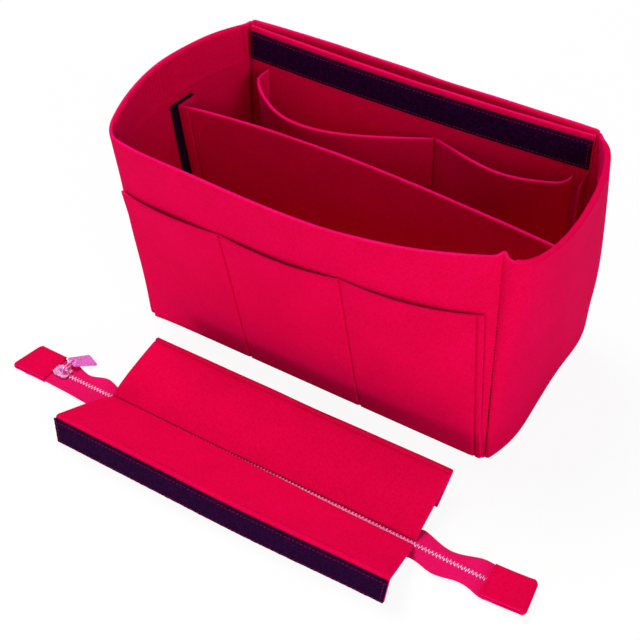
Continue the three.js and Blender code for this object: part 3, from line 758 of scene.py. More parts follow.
def tape_material():
    """Woven tape: fine ribs along its length, crossed by a weft."""
    material, shader = new_material("zip_tape", 0.8)
    set_cloth_gloss(shader, 0.12, (1.0, 0.02, 0.45), 0.05)
    weft = noise(material, 1.0, 2, 0.0, (300, 2600, 600))
    warp = noise(material, 1.0, 2, 0.0, (2600, 300, 600))
    first = ramp(material, weft, [(0.3, (0.70, 0.002, 0.085)), (0.7, (0.82, 0.005, 0.15))])
    second = ramp(material, warp, [(0.3, (0.88, 0.88, 0.88)), (0.7, (1, 1, 1))])
    colour = blend_colours(material, "MULTIPLY", 1.0, first, second)
    return dressed(material, shader, colour, warp, 0.4, 0.0003)


def metal_material(name, dark, light, metallic):
    """Bright plated metal with a tint, and fine rubbed streaks in its gloss."""
    material, shader = new_material(name, 0.25)
    shader.inputs["Metallic"].default_value = metallic
    streaks = noise(material, 900, 3, 0.5)
    colour = ramp(material, streaks, [(0.35, dark), (0.65, light)])
    rough = ramp(material, streaks, [(0.3, (0.2, 0.2, 0.2)), (0.7, (0.38, 0.38, 0.38))])
    link(material, rough, shader.inputs["Roughness"])
    return dressed(material, shader, colour, streaks, 0.03, 0.0002)


def thread_material(name, dark, light):
    """Twisted thread."""
    material, shader = new_material(name, 0.7)
    shader.inputs["Specular IOR Level"].default_value = 0.05
    twist = noise(material, 2400, 2)
    colour = ramp(material, twist, [(0.3, dark), (0.7, light)])
    return dressed(material, shader, colour, twist, 0.3, 0.0002)


felt = felt_material()
strip_cloth = strip_material()
tape_cloth = tape_material()
metal = metal_material("zip_metal", (0.84, 0.33, 0.62), (0.96, 0.52, 0.82), 0.3)
slider_metal = metal_material("slider_metal", (0.86, 0.30, 0.66), (0.98, 0.50, 0.84), 0.85)
pull_metal = metal_material("pull_metal", (0.84, 0.13, 0.66), (0.95, 0.26, 0.82), 0.3)
# Real pocket seam stitches, darker than the felt as painted shade, so the sewn dents read as dark lines.
pocket_stitch_and_shade = thread_material("pocket_stitch_and_shade", (0.30, 0.0002, 0.012), (0.40, 0.0005, 0.02))
# Painted shade: the corner seam thread is near black, standing in for the shade deep in the seam gaps.
seam_shade_thread = thread_material("seam_shade_thread", (0.09, 0.0002, 0.006), (0.15, 0.0004, 0.01))
tab_thread = thread_material("tab_thread", (0.44, 0.0004, 0.02), (0.54, 0.0006, 0.035))
strip_thread = thread_material("strip_thread", (0.20, 0.001, 0.022), (0.36, 0.003, 0.05))


# Basket walls


SEAM_PLACES = np.append(EDGE_STEPS * FELT, 0.6 * SEAM_LEAD)


def seam_point(face, other, u, z, depth):
    """Where two neighbouring walls meet, a depth inside their shared seam."""
    normal = plan_normal(face, u, z)
    other_normal = plan_normal(other, 1 - u, z)
    return face(u, z) - (normal + other_normal) * depth / (1 + normal @ other_normal)


def seam_run(corner, lead):
    """Points from a corner seam to where the wall's own run begins."""
    return corner + (lead - corner) * (SEAM_PLACES / np.linalg.norm(lead - corner))[:, None]


def wrap_run(z):
    """Middle of the left end's felt round the front left corner, up to the seam on the front."""
    corner = seam_point(front_face, left_face, 0, z, FELT / 2)
    start = inside(left_face, FELT / 2)(1 - at_height(WRAP_LEAD, z) / LEFT_RUN, z)
    end = inside(front_face, FELT / 2)(at_height(WRAP, z) / LONG_RUN, z)
    bent = bend(start, corner, end, 60)
    lengths = path_lengths(bent)
    last = lengths[-1] - SEAM_PLACES[::-1]
    places = np.append(np.linspace(0, last[0], 9)[1:-1], last)
    return along_path(places, lengths, bent)


def rim_lift(face, share):
    """How far a wall's rim is cut above the nominal height, along its run."""
    if face is slip_face:
        low, reach = BACK_RIM_LOW
        return BACK_RIM_LIFT * np.clip(np.abs(share - low) / reach, 0, 1)
    if face is left_face:
        return LEFT_RIM_LIFT * np.sin(math.pi * share)
    return 0


def wall_middle(face, previous, following, levels, peaks):
    """Middle points of a wall between two corner seams, with its rim drawn up beside them."""
    middle_face = inside(face, FELT / 2)
    count = round(run_lengths(face, HEIGHT, (0, 1))[1][-1] / FELT_STEP)
    rows = []
    for z in levels:
        u, lengths = run_lengths(face, z, (0, 1))
        seam = at_height(WRAP, z) if face is front_face else 0
        lead = at_height(WRAP_LEAD, z) if face is left_face else SEAM_LEAD
        places = np.append(seam + SEAM_PLACES, np.linspace(seam + SEAM_LEAD, lengths[-1] - lead, count))
        run = middle_face(np.interp(places, lengths, u), np.full_like(places, z))
        if face is not front_face:
            run[: len(SEAM_PLACES)] = seam_run(
                seam_point(face, previous, 0, z, SEAM_DEPTH), run[len(SEAM_PLACES)]
            )
        if face is left_face:
            end = wrap_run(z)
        else:
            end = seam_run(seam_point(face, following, 1, z, SEAM_DEPTH), run[-1])[::-1]
        row = np.concatenate([run, end])
        ahead = np.linalg.norm(row - row[0], axis=1)
        behind = np.linalg.norm(row - row[-1], axis=1)
        lift = groove(ahead, [0], peaks[0], SEAM_PEAK_WIDTH) + groove(behind, [0], peaks[1], SEAM_PEAK_WIDTH)
        lift = lift + rim_lift(face, ahead / (ahead + behind))
        row[:, 2] += lift * smoothstep(z, HEIGHT - RIM_REACH, HEIGHT)
        rows.append(row)
    return np.array(rows)


def add_walls():
    levels = run_places(0, HEIGHT, FELT_STEP, FELT)
    walls = [
        ("front_panel", front_face, left_face, right_face, (0, FRONT_RIGHT_PEAK), ["foot", "start"]),
        ("right_end_panel", right_face, front_face, slip_face, (FRONT_RIGHT_PEAK, END_PEAK), ["foot"]),
        ("back_slip_panel", slip_face, right_face, left_face, (BACK_PEAK, BACK_PEAK), ["foot"]),
        ("left_end_panel", left_face, slip_face, front_face, (END_PEAK, 0), ["foot", "end"]),
    ]
    for seed, (node, face, previous, following, peaks, square) in enumerate(walls):
        middle = rippled(wall_middle(face, previous, following, levels, peaks), WAVE, seed)
        piece = sheet_piece(node + "_felt", middle, FELT, felt, square=square)
        place_piece(piece, "basket", "felt", node)


def add_corner_threads():
    """The thread that closes the three open corner seams, deep in their grooves, coloured near black as
    painted shade of the narrow seam gaps.
    """
    levels = np.linspace(4, HEIGHT - 1, 60)
    paths = []
    for face, other in ((front_face, right_face), (right_face, slip_face), (slip_face, left_face)):
        points = np.array([seam_point(face, other, 1, z, SEAM_DEPTH - THREAD_RISE) for z in levels])
        normals = unit(np.array([plan_normal(face, 1, z) + plan_normal(other, 0, z) for z in levels]))
        paths.append((points, normals))
    add_stitches("corner_threads", "basket", "felt", paths, seam_shade_thread, pitch=3.0, stitch=3.2, radius=0.7)


def add_base():
    """The bottom panel, sewn into the foot of the walls."""
    depth = FELT - BASE_SEWN
    runs = run_places(0, 1, 0.02, 0.01)
    front = inside(front_face, depth)(runs, 0)
    back = inside(slip_face, depth)(1 - runs, 0)
    y = mix(front[:, 1], back[:, 1], runs[:, None])
    left = inside(left_face, depth)(1 - runs, 0)
    right = inside(right_face, depth)(runs, 0)
    left_x = np.interp(y[:, 0], left[:, 1], left[:, 0])
    right_x = np.interp(y[:, -1], right[:, 1], right[:, 0])
    x = mix(left_x[:, None], right_x[:, None], runs)
    middle = point(x, y, FELT / 2)
    piece = sheet_piece("base_panel_felt", middle, FELT, felt)
    place_piece(piece, "basket", "felt", "base_panel")


def add_back_layer():
    levels = run_places(FLOOR_TOP, HEIGHT, FELT_STEP, FELT)
    middle = face_grid(inside(back_face, FELT / 2), (0, 1), levels, FELT_STEP, FELT)
    piece = sheet_piece("back_panel_felt", rippled(middle, WAVE, 5), FELT, felt)
    place_piece(piece, "basket", "felt", "back_panel")


# Pockets


def between_seams(places, marks):
    """Share of fullness along a sheet that is sewn down at the marks."""
    full = np.zeros_like(places)
    for low, high in zip(marks, marks[1:]):
        share = np.clip((places - low) / (high - low), 0, 1)
        full = np.maximum(full, np.sin(math.pi * share) ** 0.8)
    return full


def add_front_pocket():
    u, lengths = run_lengths(front_face, POCKET_HEIGHT, (0, 1))
    end = lengths[-1] - FRONT_POCKET_END[1]
    sewn = [*FRONT_POCKET_SEAMS, end - FRONT_POCKET_HEM]
    places = finer(run_places(FRONT_POCKET_START[1], end, 3, POCKET_FELT), sewn)
    marks = [FRONT_POCKET_START[1], *FRONT_POCKET_SEAMS, end]
    full = between_seams(places, marks)
    mouth = np.interp(places, marks, FRONT_POCKET_MOUTH) - FRONT_POCKET_SAG * full
    rise = (run_places(0, POCKET_HEIGHT, FELT_STEP, POCKET_FELT) / POCKET_HEIGHT)[:, None]
    right = np.clip((places - marks[2]) / (end - marks[2]), 0, 1)
    left = np.clip(1 - places / marks[1], 0, 1)
    slant = (FRONT_POCKET_END[1] - FRONT_POCKET_END[0]) * right
    slant = slant + (FRONT_POCKET_START[0] - FRONT_POCKET_START[1]) * left
    flat = front_face(np.interp(places + slant * (1 - rise), lengths, u), rise * mouth)
    edge = np.exp((places[0] - places) / FRONT_POCKET_EDGE)
    proud = np.maximum(smoothstep(rise, 0, FRONT_POCKET_SUNK_TOP), edge)
    layer = (CLEAR + POCKET_FELT / 2) * mix(FRONT_POCKET_SUNK, 1, proud)
    fullness = FRONT_POCKET_FULLNESS * full * rise ** FRONT_POCKET_FULLNESS_RISE
    middle = flat + grid_normals(flat) * (layer + fullness)[..., None]
    dent = groove(places, sewn, POCKET_SEAM_DEPTH) * np.ones_like(rise)
    piece = sheet_piece("front_pocket_felt", middle, POCKET_FELT, felt, dent)
    place_piece(piece, "basket", "felt", "front_pocket_panel")
    lift = POCKET_FELT / 2 - POCKET_SEAM_DEPTH
    paths = [column_path(middle, nearest(places, seam), lift) for seam in sewn]
    stitches = add_stitches("front_pocket_stitches", "basket", "felt", paths, pocket_stitch_and_shade)


def inner_bulge(x, rise):
    low, high = INNER_POCKET_LOW[0], INNER_POCKET_HIGH[0]
    left = x < INNER_SEAM
    along = np.where(left, (x - low) / (INNER_SEAM - low), (x - INNER_SEAM) / (high - INNER_SEAM))
    skew = np.where(left, *INNER_BULGE_SKEW)
    most = np.where(left, *INNER_BULGE)
    return most * np.sin(math.pi * np.clip(along, 0, 1) ** skew) * rise ** INNER_BULGE_RISE


def add_inner_pocket():
    low, high = INNER_POCKET_LOW, INNER_POCKET_HIGH
    x = finer(run_places(low[0], high[0], 1.5, INNER_FELT), [INNER_SEAM])[None, :]
    climb = INNER_END_RISE[0] * np.exp((low[0] - x) / INNER_END_REACH[0])
    climb = climb + INNER_END_RISE[1] * np.exp((x - high[0]) / INNER_END_REACH[1])
    rise = (run_places(0, high[2], FELT_STEP, INNER_FELT) / high[2])[:, None]
    z = FLOOR_TOP + rise * (high[2] - FLOOR_TOP + climb)
    stand = INNER_STAND * smoothstep(x, high[0] - INNER_STAND_REACH, high[0]) * rise
    y = back_layer_rear(x, z) - FELT - CLEAR - INNER_FELT / 2 - inner_bulge(x, rise) - stand
    middle = point(x + np.interp(x - low[0], *INNER_CURL) * rise, y, z)
    dent = groove(x, [INNER_SEAM], POCKET_SEAM_DEPTH) * np.ones_like(rise)
    piece = sheet_piece("inner_pocket_felt", middle, INNER_FELT, felt, dent)
    place_piece(piece, "basket", "felt", "inner_pocket_panel")
    paths = [column_path(middle, nearest(x[0], INNER_SEAM), INNER_FELT / 2 - POCKET_SEAM_DEPTH)]
    stitches = add_stitches("inner_pocket_stitches", "basket", "felt", paths, pocket_stitch_and_shade)


# Hems and strips


def hem_path():
    """Depth and height of a hem's middle: up inside the wall, over the rim and down its inner side."""
    turn = np.linspace(math.pi, 0, 13)
    over = HEM_AXIS + HEM_RADIUS * np.stack([np.cos(turn), np.sin(turn)], axis=-1)
    low = run_places(HEM_FOOT, HEM_AXIS[1] - 1, FELT_STEP, HEM_FELT)[::-1]
    depth = mix(HEM_DEPTH, over[-1][0], smoothstep(low, HEM_AXIS[1] - HEM_TURN, HEM_AXIS[1]))
    depth = depth + HEM_LIP * np.exp((HEM_FOOT - low) / HEM_LIP_REACH)
    return np.concatenate([over[0] + HEM_HIDDEN_END, over, np.stack([depth, low], axis=-1)])


def add_hems():
    for side, wall in (("left", left_face), ("right", right_face)):
        u, lengths = run_lengths(wall, HEIGHT, (0, 1))
        places = run_places(HEM_ENDS[side][0], lengths[-1] - HEM_ENDS[side][1], 0.8, HEM_FELT)
        columns = np.interp(places, lengths, u)
        pucker = HEM_PUCKER * np.sin(places * HEM_PUCKER_WAVE) * hump(columns, *HEM_PUCKER_PLACE)
        middle = np.array([
            inside(wall, depth + pucker * (depth > HEM_AXIS[0]))(columns, np.full_like(columns, z))
            for depth, z in hem_path()
        ])
        node = side + "_rim_facing"
        piece = sheet_piece(node + "_felt", middle, HEM_FELT, felt)
        place_piece(piece, "basket", "felt", node)


def strip_paths(middle, thickness):
    """Lines round a strip, a little inside its edges, on the front side of its grid."""
    normals = grid_normals(middle)
    surface = middle + normals * (thickness / 2 + LAYER_GAP)
    inset = len(EDGE_STEPS)
    run = slice(inset, -inset)
    lines = [inset, -1 - inset, (run, inset), (run, -1 - inset)]
    return [(surface[line], normals[line]) for line in lines]


def add_strip(node, body, middle, thickness, seed, stitched):
    """A napped strip whose loops stand on the front side of its grid."""
    nap = np.random.default_rng(seed).uniform(*NAP, middle.shape[:2])
    piece = sheet_piece(node + "_nap", middle, thickness, strip_cloth, nap=nap)
    place_piece(piece, body, "hook_loop", node)
    if stitched:
        paths = strip_paths(middle, thickness)
        add_stitches(node + "_stitches", body, "hook_loop", paths, strip_thread, radius=0.26)
    return piece


def add_wall_strips():
    levels = run_places(LOOP_LOW, LOOP_HIGH, STRIP_STEP, STRIP)
    upright = run_places(WALL_STRIP_FOOT, WALL_STRIP_TOP, STRIP_STEP, STRIP)
    behind = STRIP_WIDTH - STRIP_LEAD
    left = (DIVIDER_LEFT - behind / LEFT_RUN, DIVIDER_LEFT + STRIP_LEAD / LEFT_RUN)
    right = (DIVIDER_RIGHT - STRIP_LEAD / RIGHT_RUN, DIVIDER_RIGHT + behind / RIGHT_RUN)
    strips = [
        ("front_loop_strip", front_face, (FRONT_STRIP_ENDS, 1 - FRONT_STRIP_ENDS), levels, STRIP),
        ("back_loop_strip", back_face, (BACK_STRIP_ENDS, 1 - BACK_STRIP_ENDS), levels, STRIP),
        ("left_wall_strip", left_face, left, upright, PRESSED_STRIP),
        ("right_wall_strip", right_face, right, upright, PRESSED_STRIP),
    ]
    for seed, (node, face, span, rows, thickness) in enumerate(strips):
        depth = FELT + CLEAR + thickness / 2
        middle = face_grid(inside(face, depth), span, rows, STRIP_STEP, thickness)
        add_strip(node, "basket", middle[:, ::-1], thickness, seed, rows is levels)


# Divider

HOOK_DEPTH = FELT + CLEAR + PRESSED_STRIP + LAYER_GAP
FLANGE_DEPTH = HOOK_DEPTH + PRESSED_STRIP + LAYER_GAP
LEFT_FLANGE = (DIVIDER_LEFT - FLANGE / LEFT_RUN, DIVIDER_LEFT)
RIGHT_FLANGE = (DIVIDER_RIGHT, DIVIDER_RIGHT + FLANGE / RIGHT_RUN)
DIVIDER_PLACES = finer(np.linspace(0, DIVIDER_LENGTH, 80)[1:-1], [DIVIDER_CREASE])
BEND_POINTS = 9


def corner_bend(corner, arrive, leave, radius):
    return bend(corner - arrive * radius, corner, corner + leave * radius, BEND_POINTS)


def divider_row(z):
    """One level of the divider's face: left flange, bend, bowed run, bend, right flange."""
    left = inside(left_face, FLANGE_DEPTH)
    right = inside(right_face, FLANGE_DEPTH)
    left_end = left(DIVIDER_LEFT, z)
    right_end = right(DIVIDER_RIGHT, z)
    run = unit(right_end - left_end)
    bow = np.array([-run[1], run[0], 0])
    left_bend = corner_bend(left_end, plan_tangent(left, DIVIDER_LEFT, z), run, FLANGE_RADIUS)
    right_bend = corner_bend(right_end, run, plan_tangent(right, DIVIDER_RIGHT, z), FLANGE_RADIUS)
    left_tip = left(LEFT_FLANGE[0], z)
    right_tip = right(RIGHT_FLANGE[1], z)
    rings = EDGE_STEPS * FELT / np.linalg.norm(left_tip - left_bend[0])
    flange = np.concatenate([rings, [0.4, 0.7]])[:, None]
    share = (DIVIDER_PLACES / DIVIDER_LENGTH)[:, None]
    reach = DIVIDER_BOW * np.sin(math.pi * share ** DIVIDER_BOW_SKEW)
    middle = mix(left_bend[-1], right_bend[0], share) + bow * reach
    return np.concatenate([
        mix(left_tip, left_bend[0], flange), left_bend, middle, right_bend,
        mix(right_bend[-1], right_tip, 1 - flange[::-1]),
    ])


def add_divider():
    levels = run_places(DIVIDER_FOOT, DIVIDER_TOP, FELT_STEP, FELT)
    face = np.array([divider_row(z) for z in levels])
    middle = face - grid_normals(face) * FELT / 2
    before = (face.shape[1] - len(DIVIDER_PLACES)) // 2
    dent = np.zeros(face.shape[:2])
    dent[:, before:-before] = groove(DIVIDER_PLACES, [DIVIDER_CREASE], DIVIDER_CREASE_DEPTH)
    piece = sheet_piece("divider_felt", rippled(middle, SMALL_WAVE, 6), FELT, felt, dent)
    place_piece(piece, "divider", "felt", "divider_panel")
    upright = run_places(WALL_STRIP_FOOT, DIVIDER_TOP - CLEAR, STRIP_STEP, STRIP)
    sides = (
        ("divider_left_hook_strip", left_face, LEFT_FLANGE),
        ("divider_right_hook_strip", right_face, RIGHT_FLANGE),
    )
    for seed, (node, wall, span) in enumerate(sides):
        depth = HOOK_DEPTH + PRESSED_STRIP / 2
        grid = face_grid(inside(wall, depth), span, upright, STRIP_STEP, PRESSED_STRIP)
        add_strip(node, "divider", grid, PRESSED_STRIP, 20 + seed, False)


# Lid


def lid_share(x):
    """Share of the lid's length, from its left end."""
    return (x + LID_HALF) / (2 * LID_HALF)


def groove_height(x):
    return mix(*GROOVE_HEIGHTS, lid_share(x))


def lid_slope(x, side):
    reach, fold = LID_FOLD[side]
    return (fold - groove_height(x)) / (reach - GROOVE_HALF)


def edge_droop(x, out):
    return (groove_height(x) - EDGE_TOP) * np.exp((GROOVE_HALF - out) / EDGE_REACH)


HALF_NAMES = {1: "back", -1: "front"}
FRONT_STRETCH = 1 + FRONT_FLARE / LID_HALF


def half_profile(x, side):
    """Middle line of one half of the lid across its length: chain edge, fold, flap.

    Gives pairs of out and height, how deep its upper side is pressed in, and the share of the flap's width.
    """
    reach, fold = LID_FOLD[side]
    panel = unit(np.array([1, lid_slope(x, side)]))
    down = np.array([-math.sin(FLAP_LEAN[side]), -math.cos(FLAP_LEAN[side])])
    start = np.array([GROOVE_HALF, groove_height(x)]) + FELT / 2 * np.array([panel[1], -panel[0]])
    hang = np.array([reach + CLEAR, fold - FELT - CLEAR]) + FELT / 2 * np.array([-down[1], down[0]])
    end = hang + down * FLAP_WIDTH
    to_corner = np.linalg.solve(np.array([panel, -down]).T, hang - start)[0]
    corner = start + panel * to_corner
    flap_length = np.linalg.norm(end - corner) - FOLD_RADIUS
    rings = EDGE_STEPS * FELT
    inner = np.linspace(rings[-1], to_corner - FOLD_RADIUS, 16)[1:-1]
    flat = finer(np.concatenate([rings, inner]), [to_corner - FOLD_LINE])
    hanging = np.linspace(0, flap_length - rings[-1], 7)[1:]
    hanging = np.concatenate([hanging, flap_length - rings[-2::-1]])
    turn = corner_bend(corner, panel, down, FOLD_RADIUS)
    profile = np.concatenate([start + panel * flat[:, None], turn, turn[-1] + down * hanging[:, None]])
    dent = np.zeros(len(profile))
    if side > 0:
        dent[: len(flat)] = groove(flat, [to_corner - FOLD_LINE], FOLD_LINE_DEPTH)
    hang = np.append(np.zeros(len(profile) - len(hanging)), hanging / flap_length)
    opening = smoothstep(lid_share(x), *EDGE_OPENING)
    close = mix(*EDGE_CLOSE, opening) * np.exp((GROOVE_HALF - profile[:, 0]) / EDGE_REACH)
    profile[: len(flat), 1] -= edge_droop(x, profile[: len(flat), 0])
    profile[: len(flat), 0] -= close[: len(flat)]
    return profile, dent, hang


def lid_point(x, out, z, side, hang):
    """A point of a half of the lid in the row frame. hang is its share of the flap's width below the fold."""
    share = np.clip((out - GROOVE_HALF) / (LID_FOLD[side][0] - GROOVE_HALF), 0, 1)
    share = np.where(hang > 0, 1, share)
    along = lid_share(x)
    left, right, far_left, far_right = LID_TRIM[side]
    trim = mix(mix(left, right, along), mix(far_left, far_right, along), share)
    stretch = 1 if side > 0 else 1 + (FRONT_STRETCH - 1) * share
    push = LID_PUSH[side] * share * (1 - smoothstep(along, *LID_PUSH_END))
    trim = trim - mix(*FLAP_SLANT[side], along) * hang
    return point(x * stretch + trim, side * out + push, z) + LID_MIDDLE


def add_lid_half(side):
    name = HALF_NAMES[side]
    x = run_places(-LID_HALF, LID_HALF, FELT_STEP, FELT)
    profiles = [half_profile(place, side) for place in x]
    lines, dent, hang = (np.array(values) for values in zip(*profiles))
    middle = lid_point(x[None, :], lines[:, :, 0].T, lines[:, :, 1].T, side, hang.T)[::side]
    shown = rippled(middle, SMALL_WAVE, 7 + side)
    piece = sheet_piece(name + "_lid_felt", shown, FELT, felt, dent.T[::side])
    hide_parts(name + "_lid_panel", name + "_flap")
    reach, fold = LID_FOLD[side]
    start, end = (
        tuple((LID_MIDDLE + (0, side * (reach + out), fold + up)) * MM)
        for out, up in (CREASE_START, CREASE_END)
    )
    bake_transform(piece)
    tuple(start)
    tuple(end)
    add_flap_strip(name, side)


def add_flap_strip(name, side):
    reach, fold = LID_FOLD[side]
    x = run_places(-LID_HALF, LID_HALF - FLAP_STRIP_INSET[side], STRIP_STEP, STRIP)[None, :]
    down = run_places(*FLAP_STRIP_EDGES, STRIP_STEP, STRIP)[:, None]
    layer = FELT + LAYER_GAP + STRIP / 2
    out = reach + CLEAR - down * math.sin(FLAP_LEAN[side]) + layer * math.cos(FLAP_LEAN[side])
    z = fold - FELT - CLEAR - down * math.cos(FLAP_LEAN[side]) - layer * math.sin(FLAP_LEAN[side])
    middle = lid_point(x, out, z, side, np.maximum(down / FLAP_WIDTH, 0.001))[::side]
    add_strip(name + "_hook_strip", name + "_flap", middle, STRIP, 30 + side, True)


# Zip


def tail_wave(x, side):
    """Half width of the tape and the swing of its edge from -1 to 1, which only the tails have."""
    half, swing = np.full_like(x, TAPE_HALF), np.zeros_like(x)
    for end in (-1, 1):
        width, size, length, crest = TAPE_WAVES[end, side]
        tail = smoothstep(end * x, LID_HALF - TAIL_LEAD, LID_HALF + TAIL_LEAD)
        wave = np.cos(2 * math.pi * (x - crest) / length)
        half = mix(half, width + size * wave, tail)
        swing = mix(swing, wave, tail)
    return half, swing


def tape_top(x, out, side):
    flat = CHAIN_HEIGHT + TAPE / 2
    slope = lid_slope(x, side)
    under = smoothstep(LID_HALF - np.abs(x), 0, TAPE_TURN)
    turn = smoothstep(out, TAPE_FLAT, TAPE_FLAT + TAPE_RAMP)
    felt_top = groove_height(x) + slope * (out - GROOVE_HALF) - edge_droop(x, out)
    followed = felt_top - (FELT + CLEAR) * np.hypot(1, slope)
    return mix(flat, np.maximum(flat, followed), under * turn)


def tab_lift(x):
    share = np.clip((np.abs(x) - TAB_INNER) / TAB_LENGTH, 0, None)
    return np.where(x > 0, TAB_LIFT[1], TAB_LIFT[-1]) * share ** TAB_LIFT_RISE


def add_tape(side):
    name = HALF_NAMES[side] + "_tape"
    reach = TAB_INNER + TAPE_IN_TAB
    x = run_places(-reach, reach, 2, TAPE)[None, :]
    share = run_places(0, 1, 0.06, 0.05)[:, None]
    half, swing = tail_wave(x, side)
    out = mix(TAPE_INNER, half, share)
    free = 1 - smoothstep(np.abs(x), TAB_INNER - TAPE_HELD, TAB_INNER)
    z = tape_top(x, out, side) - TAPE / 2 + TAPE_LIFT * swing * free * share ** 2
    middle = (point(x, side * out, z + tab_lift(x)) + LID_MIDDLE)[::side]
    piece = sheet_piece(name + "_cloth", middle, TAPE, tape_cloth)
    place_piece(piece, "lid", "zip_tape", name)


# Distance from the chain's middle, width and height along a tooth
TOOTH_RINGS = (
    (1.9, 0.7, 1.3), (1.6, 1.1, 1.8), (0.9, 1.1, 1.9), (0.1, 1.1, 1.9), (-0.5, 1.0, 1.7), (-0.7, 0.6, 0.9),
)
TOOTH_SIDES = 10
TOOTH_ROUNDING = 0.6  # 1 is round, 0 is square


def tooth_ring(x, out, width, height, side):
    turn = np.arange(TOOTH_SIDES) * 2 * math.pi / TOOTH_SIDES * -side
    round_x = np.sign(np.cos(turn)) * np.abs(np.cos(turn)) ** TOOTH_ROUNDING
    round_z = np.sign(np.sin(turn)) * np.abs(np.sin(turn)) ** TOOTH_ROUNDING
    return point(x + round_x * width / 2, side * out, CHAIN_HEIGHT + round_z * height / 2) + LID_MIDDLE


def add_teeth(side):
    name = HALF_NAMES[side] + "_teeth"
    start = -TAB_INNER + CLEAR + (TOOTH_PITCH / 2 if side > 0 else 0)
    count = int((2 * TAB_INNER - CLEAR - CHAIN_END - TOOTH_PITCH) // TOOTH_PITCH)
    rings, faces = [], []
    for k in range(count):
        faces += tube_faces(len(rings) * TOOTH_SIDES, len(TOOTH_RINGS), TOOTH_SIDES)
        for out, width, height in TOOTH_RINGS:
            rings.append(tooth_ring(start + (k + 0.5) * TOOTH_PITCH, out, width, height, side))
    piece = new_piece(name + "_metal", np.concatenate(rings), faces, metal)
    place_piece(piece, "lid", "zip_metal", name)


def add_tab(side):
    """A piece of felt folded over the end of the tapes, with a line of stitches along its inner edge."""
    name = "right_tab" if side > 0 else "left_tab"
    layer = TAPE / 2 + 2 * LAYER_GAP + TAB_FELT / 2
    run = TAB_LENGTH - TAB_FELT / 2 - layer
    rings = EDGE_STEPS * TAB_FELT
    flat = np.concatenate([rings, np.linspace(rings[-1], run, 17)[1:]])
    turns = np.linspace(-math.pi / 2, math.pi / 2, BEND_POINTS)[1:-1]
    lower = np.stack([flat, np.full_like(flat, -layer)], axis=-1)
    fold = np.stack([run + layer * np.cos(turns), layer * np.sin(turns)], axis=-1)
    path = np.concatenate([lower, fold, lower[::-1] * (1, -1)])
    y = run_places(-TAB_WIDTH / 2, TAB_WIDTH / 2, 1.5, TAB_FELT)[::side]
    shear = mix(*TAB_SHEAR[side], (y + TAB_WIDTH / 2) / TAB_WIDTH)
    past = np.clip(np.abs(y) - TAB_WIDTH / 2 + TAB_CORNER, 0, None)
    cut = TAB_CORNER - np.sqrt(TAB_CORNER ** 2 - past ** 2)
    x = side * (TAB_INNER + path[:, :1] * shear - cut * (path[:, :1] / path[:, 0].max()) ** 6)
    middle = point(x, y[None, :], CHAIN_HEIGHT + path[:, 1:] + tab_lift(x)) + LID_MIDDLE
    piece = sheet_piece(name + "_felt", middle, TAB_FELT, felt)
    place_piece(piece, "lid", "felt", name)
    top = middle[-len(flat):]
    normals = grid_normals(middle)[-len(flat):]
    surface = top + normals * TAB_FELT / 2
    near = nearest(flat[::-1], TAB_STITCH)
    inset = len(EDGE_STEPS)
    paths = [(surface[near, inset:-inset], normals[near, inset:-inset])]
    stitches = add_stitches(name + "_stitches", "lid", "felt", paths, tab_thread, radius=0.22)


def sort_faces(shape):
    """Faces in the order of their points, because an inset lists them in another order each run."""
    shape.verts.index_update()
    count = len(shape.verts)

    def place(face):
        first, second, third = sorted(vert.index for vert in face.verts)[:3]
        return (first * count + second) * count + third

    shape.faces.sort(key=place)


def softened(node, name, material, bevel, recess=None):
    """A metal piece with the solid's form, its edges broken by a small bevel. recess sinks its upper face."""
    piece = new_object(name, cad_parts[node].data.copy())
    piece.data.materials.clear()
    piece.data.materials.append(material)
    shape = bmesh.new()
    shape.from_mesh(piece.data)
    bmesh.ops.remove_doubles(shape, verts=shape.verts, dist=0.01 * MM)
    bmesh.ops.dissolve_limit(shape, angle_limit=math.radians(1), verts=shape.verts, edges=shape.edges)
    sharp = [edge for edge in shape.edges if edge.calc_face_angle(0) > SHARP_EDGE]
    rounded = bmesh.ops.bevel(
        shape, geom=sharp, offset=bevel * MM, segments=3, profile=0.5, affect="EDGES", clamp_overlap=True
    )
    for face in shape.faces:
        face.smooth = False
    for face in rounded["faces"]:
        face.smooth = True
    if recess:
        shape.normal_update()
        largest = max(shape.faces, key=lambda face: face.calc_area() * (face.normal.z > 0.5))
        upper = [face for face in shape.faces if face.normal.dot(largest.normal) > 0.999]
        bmesh.ops.inset_region(shape, faces=upper, thickness=recess[0] * MM, depth=-recess[1] * MM)
        sort_faces(shape)
    shape.to_mesh(piece.data)
    shape.free()
    return piece


def turned_pull():
    """The pull plate lies turned to the right on its link, and is longer than its solid."""
    low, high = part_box("pull_plate")
    pivot = Matrix.Translation(((low[0] + high[0]) / 2, low[1] + PULL_PIVOT * MM, high[2]))
    return pivot @ Matrix.Rotation(PULL_TURN, 4, "Z") @ Matrix.Diagonal((*PULL_SCALE, 1)) @ pivot.inverted()


def add_slider():
    parts = (
        ("slider_body", "slider", slider_metal, 0.35, None),
        ("pull_link", "link", slider_metal, 0.4, None),
        ("pull_plate", "pull", pull_metal, 0.35, PULL_RECESS),
    )
    for node, body, material, bevel, recess in parts:
        piece = softened(node, node + "_metal", material, bevel, recess)
        if node == "pull_plate":
            piece.data.transform(turned_pull())
        place_piece(piece, body, "zip_metal", node)


# Floor, light and camera


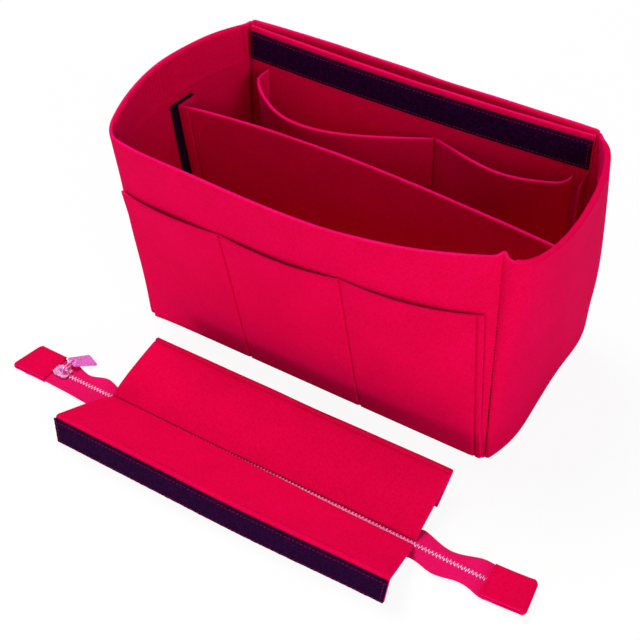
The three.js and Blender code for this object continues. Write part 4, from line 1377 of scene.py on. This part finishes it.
def floor_material():
    """Pale and matt, with most of its white shown as it is to the camera and in reflections."""
    material, shader = new_material("floor", 0.9)
    pale = [(0.3, (0.93, 0.93, 0.93)), (0.7, (0.95, 0.95, 0.95))]
    link(material, ramp(material, noise(material, 40, 3), pale), shader.inputs["Base Color"])
    path = add_node(material, "ShaderNodeLightPath")
    seen = path.outputs["Is Camera Ray"]
    for ray in ("Is Glossy Ray", "Is Transmission Ray"):
        both = add_node(material, "ShaderNodeMath", operation="ADD")
        link(material, seen, both.inputs[0])
        link(material, path.outputs[ray], both.inputs[1])
        seen = both.outputs[0]
    share = add_node(material, "ShaderNodeMath", operation="MULTIPLY")
    share.inputs[1].default_value = FLOOR_GLOW
    link(material, seen, share.inputs[0])
    glow = add_node(material, "ShaderNodeEmission", Strength=1.0)
    blend = add_node(material, "ShaderNodeMixShader")
    for socket, node in zip(blend.inputs, (share, shader, glow)):
        link(material, node.outputs[0], socket)
    link(material, blend.outputs[0], material.node_tree.nodes["Material Output"].inputs["Surface"])
    return material


def add_floor():
    mesh = bpy.data.meshes.new("floor")
    corners = [(x * FLOOR_HALF, y * FLOOR_HALF, 0) for x, y in ((-1, -1), (1, -1), (1, 1), (-1, 1))]
    mesh.from_pydata(corners, [], [(0, 1, 2, 3)])
    mesh.materials.append(floor_material())
    new_object("floor", mesh)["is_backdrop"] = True


def add_lamp(name, place, target, size, power):
    lamp = bpy.data.lights.new(name, "AREA")
    lamp.size = size
    lamp.energy = power
    holder = new_object(name, lamp)
    holder.location = place
    holder.rotation_euler = (Vector(target) - Vector(place)).to_track_quat("-Z", "Y").to_euler()


def add_light():
    world = bpy.data.worlds.new("studio")
    world.use_nodes = True
    background = world.node_tree.nodes["Background"]
    background.inputs["Strength"].default_value = WORLD_LIGHT
    background.inputs["Color"].default_value = (1, 1, 1, 1)
    bpy.context.scene.world = world
    for name, lamp in LAMPS.items():
        add_lamp(name, *lamp)


def add_camera():
    camera = new_object("camera", bpy.data.cameras.new("camera"))
    camera.data.lens = LENS
    place = Matrix.Translation(CAMERA_PLACE)
    for angle, axis in ((AZIMUTH, "Z"), (math.pi / 2 - ELEVATION, "X"), (ROLL, "Z")):
        place = place @ Matrix.Rotation(angle, 4, axis)
    camera.matrix_world = place
    bpy.context.scene.camera = camera


bpy.context.scene.view_settings.view_transform = "Standard"
add_camera()
add_light()
add_floor()
add_walls()
add_corner_threads()
add_base()
add_back_layer()
add_front_pocket()
add_inner_pocket()
add_hems()
add_wall_strips()
add_divider()
for end in (1, -1):
    add_lid_half(end)
    add_tape(end)
    add_teeth(end)
    add_tab(end)
add_slider()

boxes = {"solids": solid_bounds, "visual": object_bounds()}
{key: [list(corner) for corner in box] for key, box in boxes.items()}
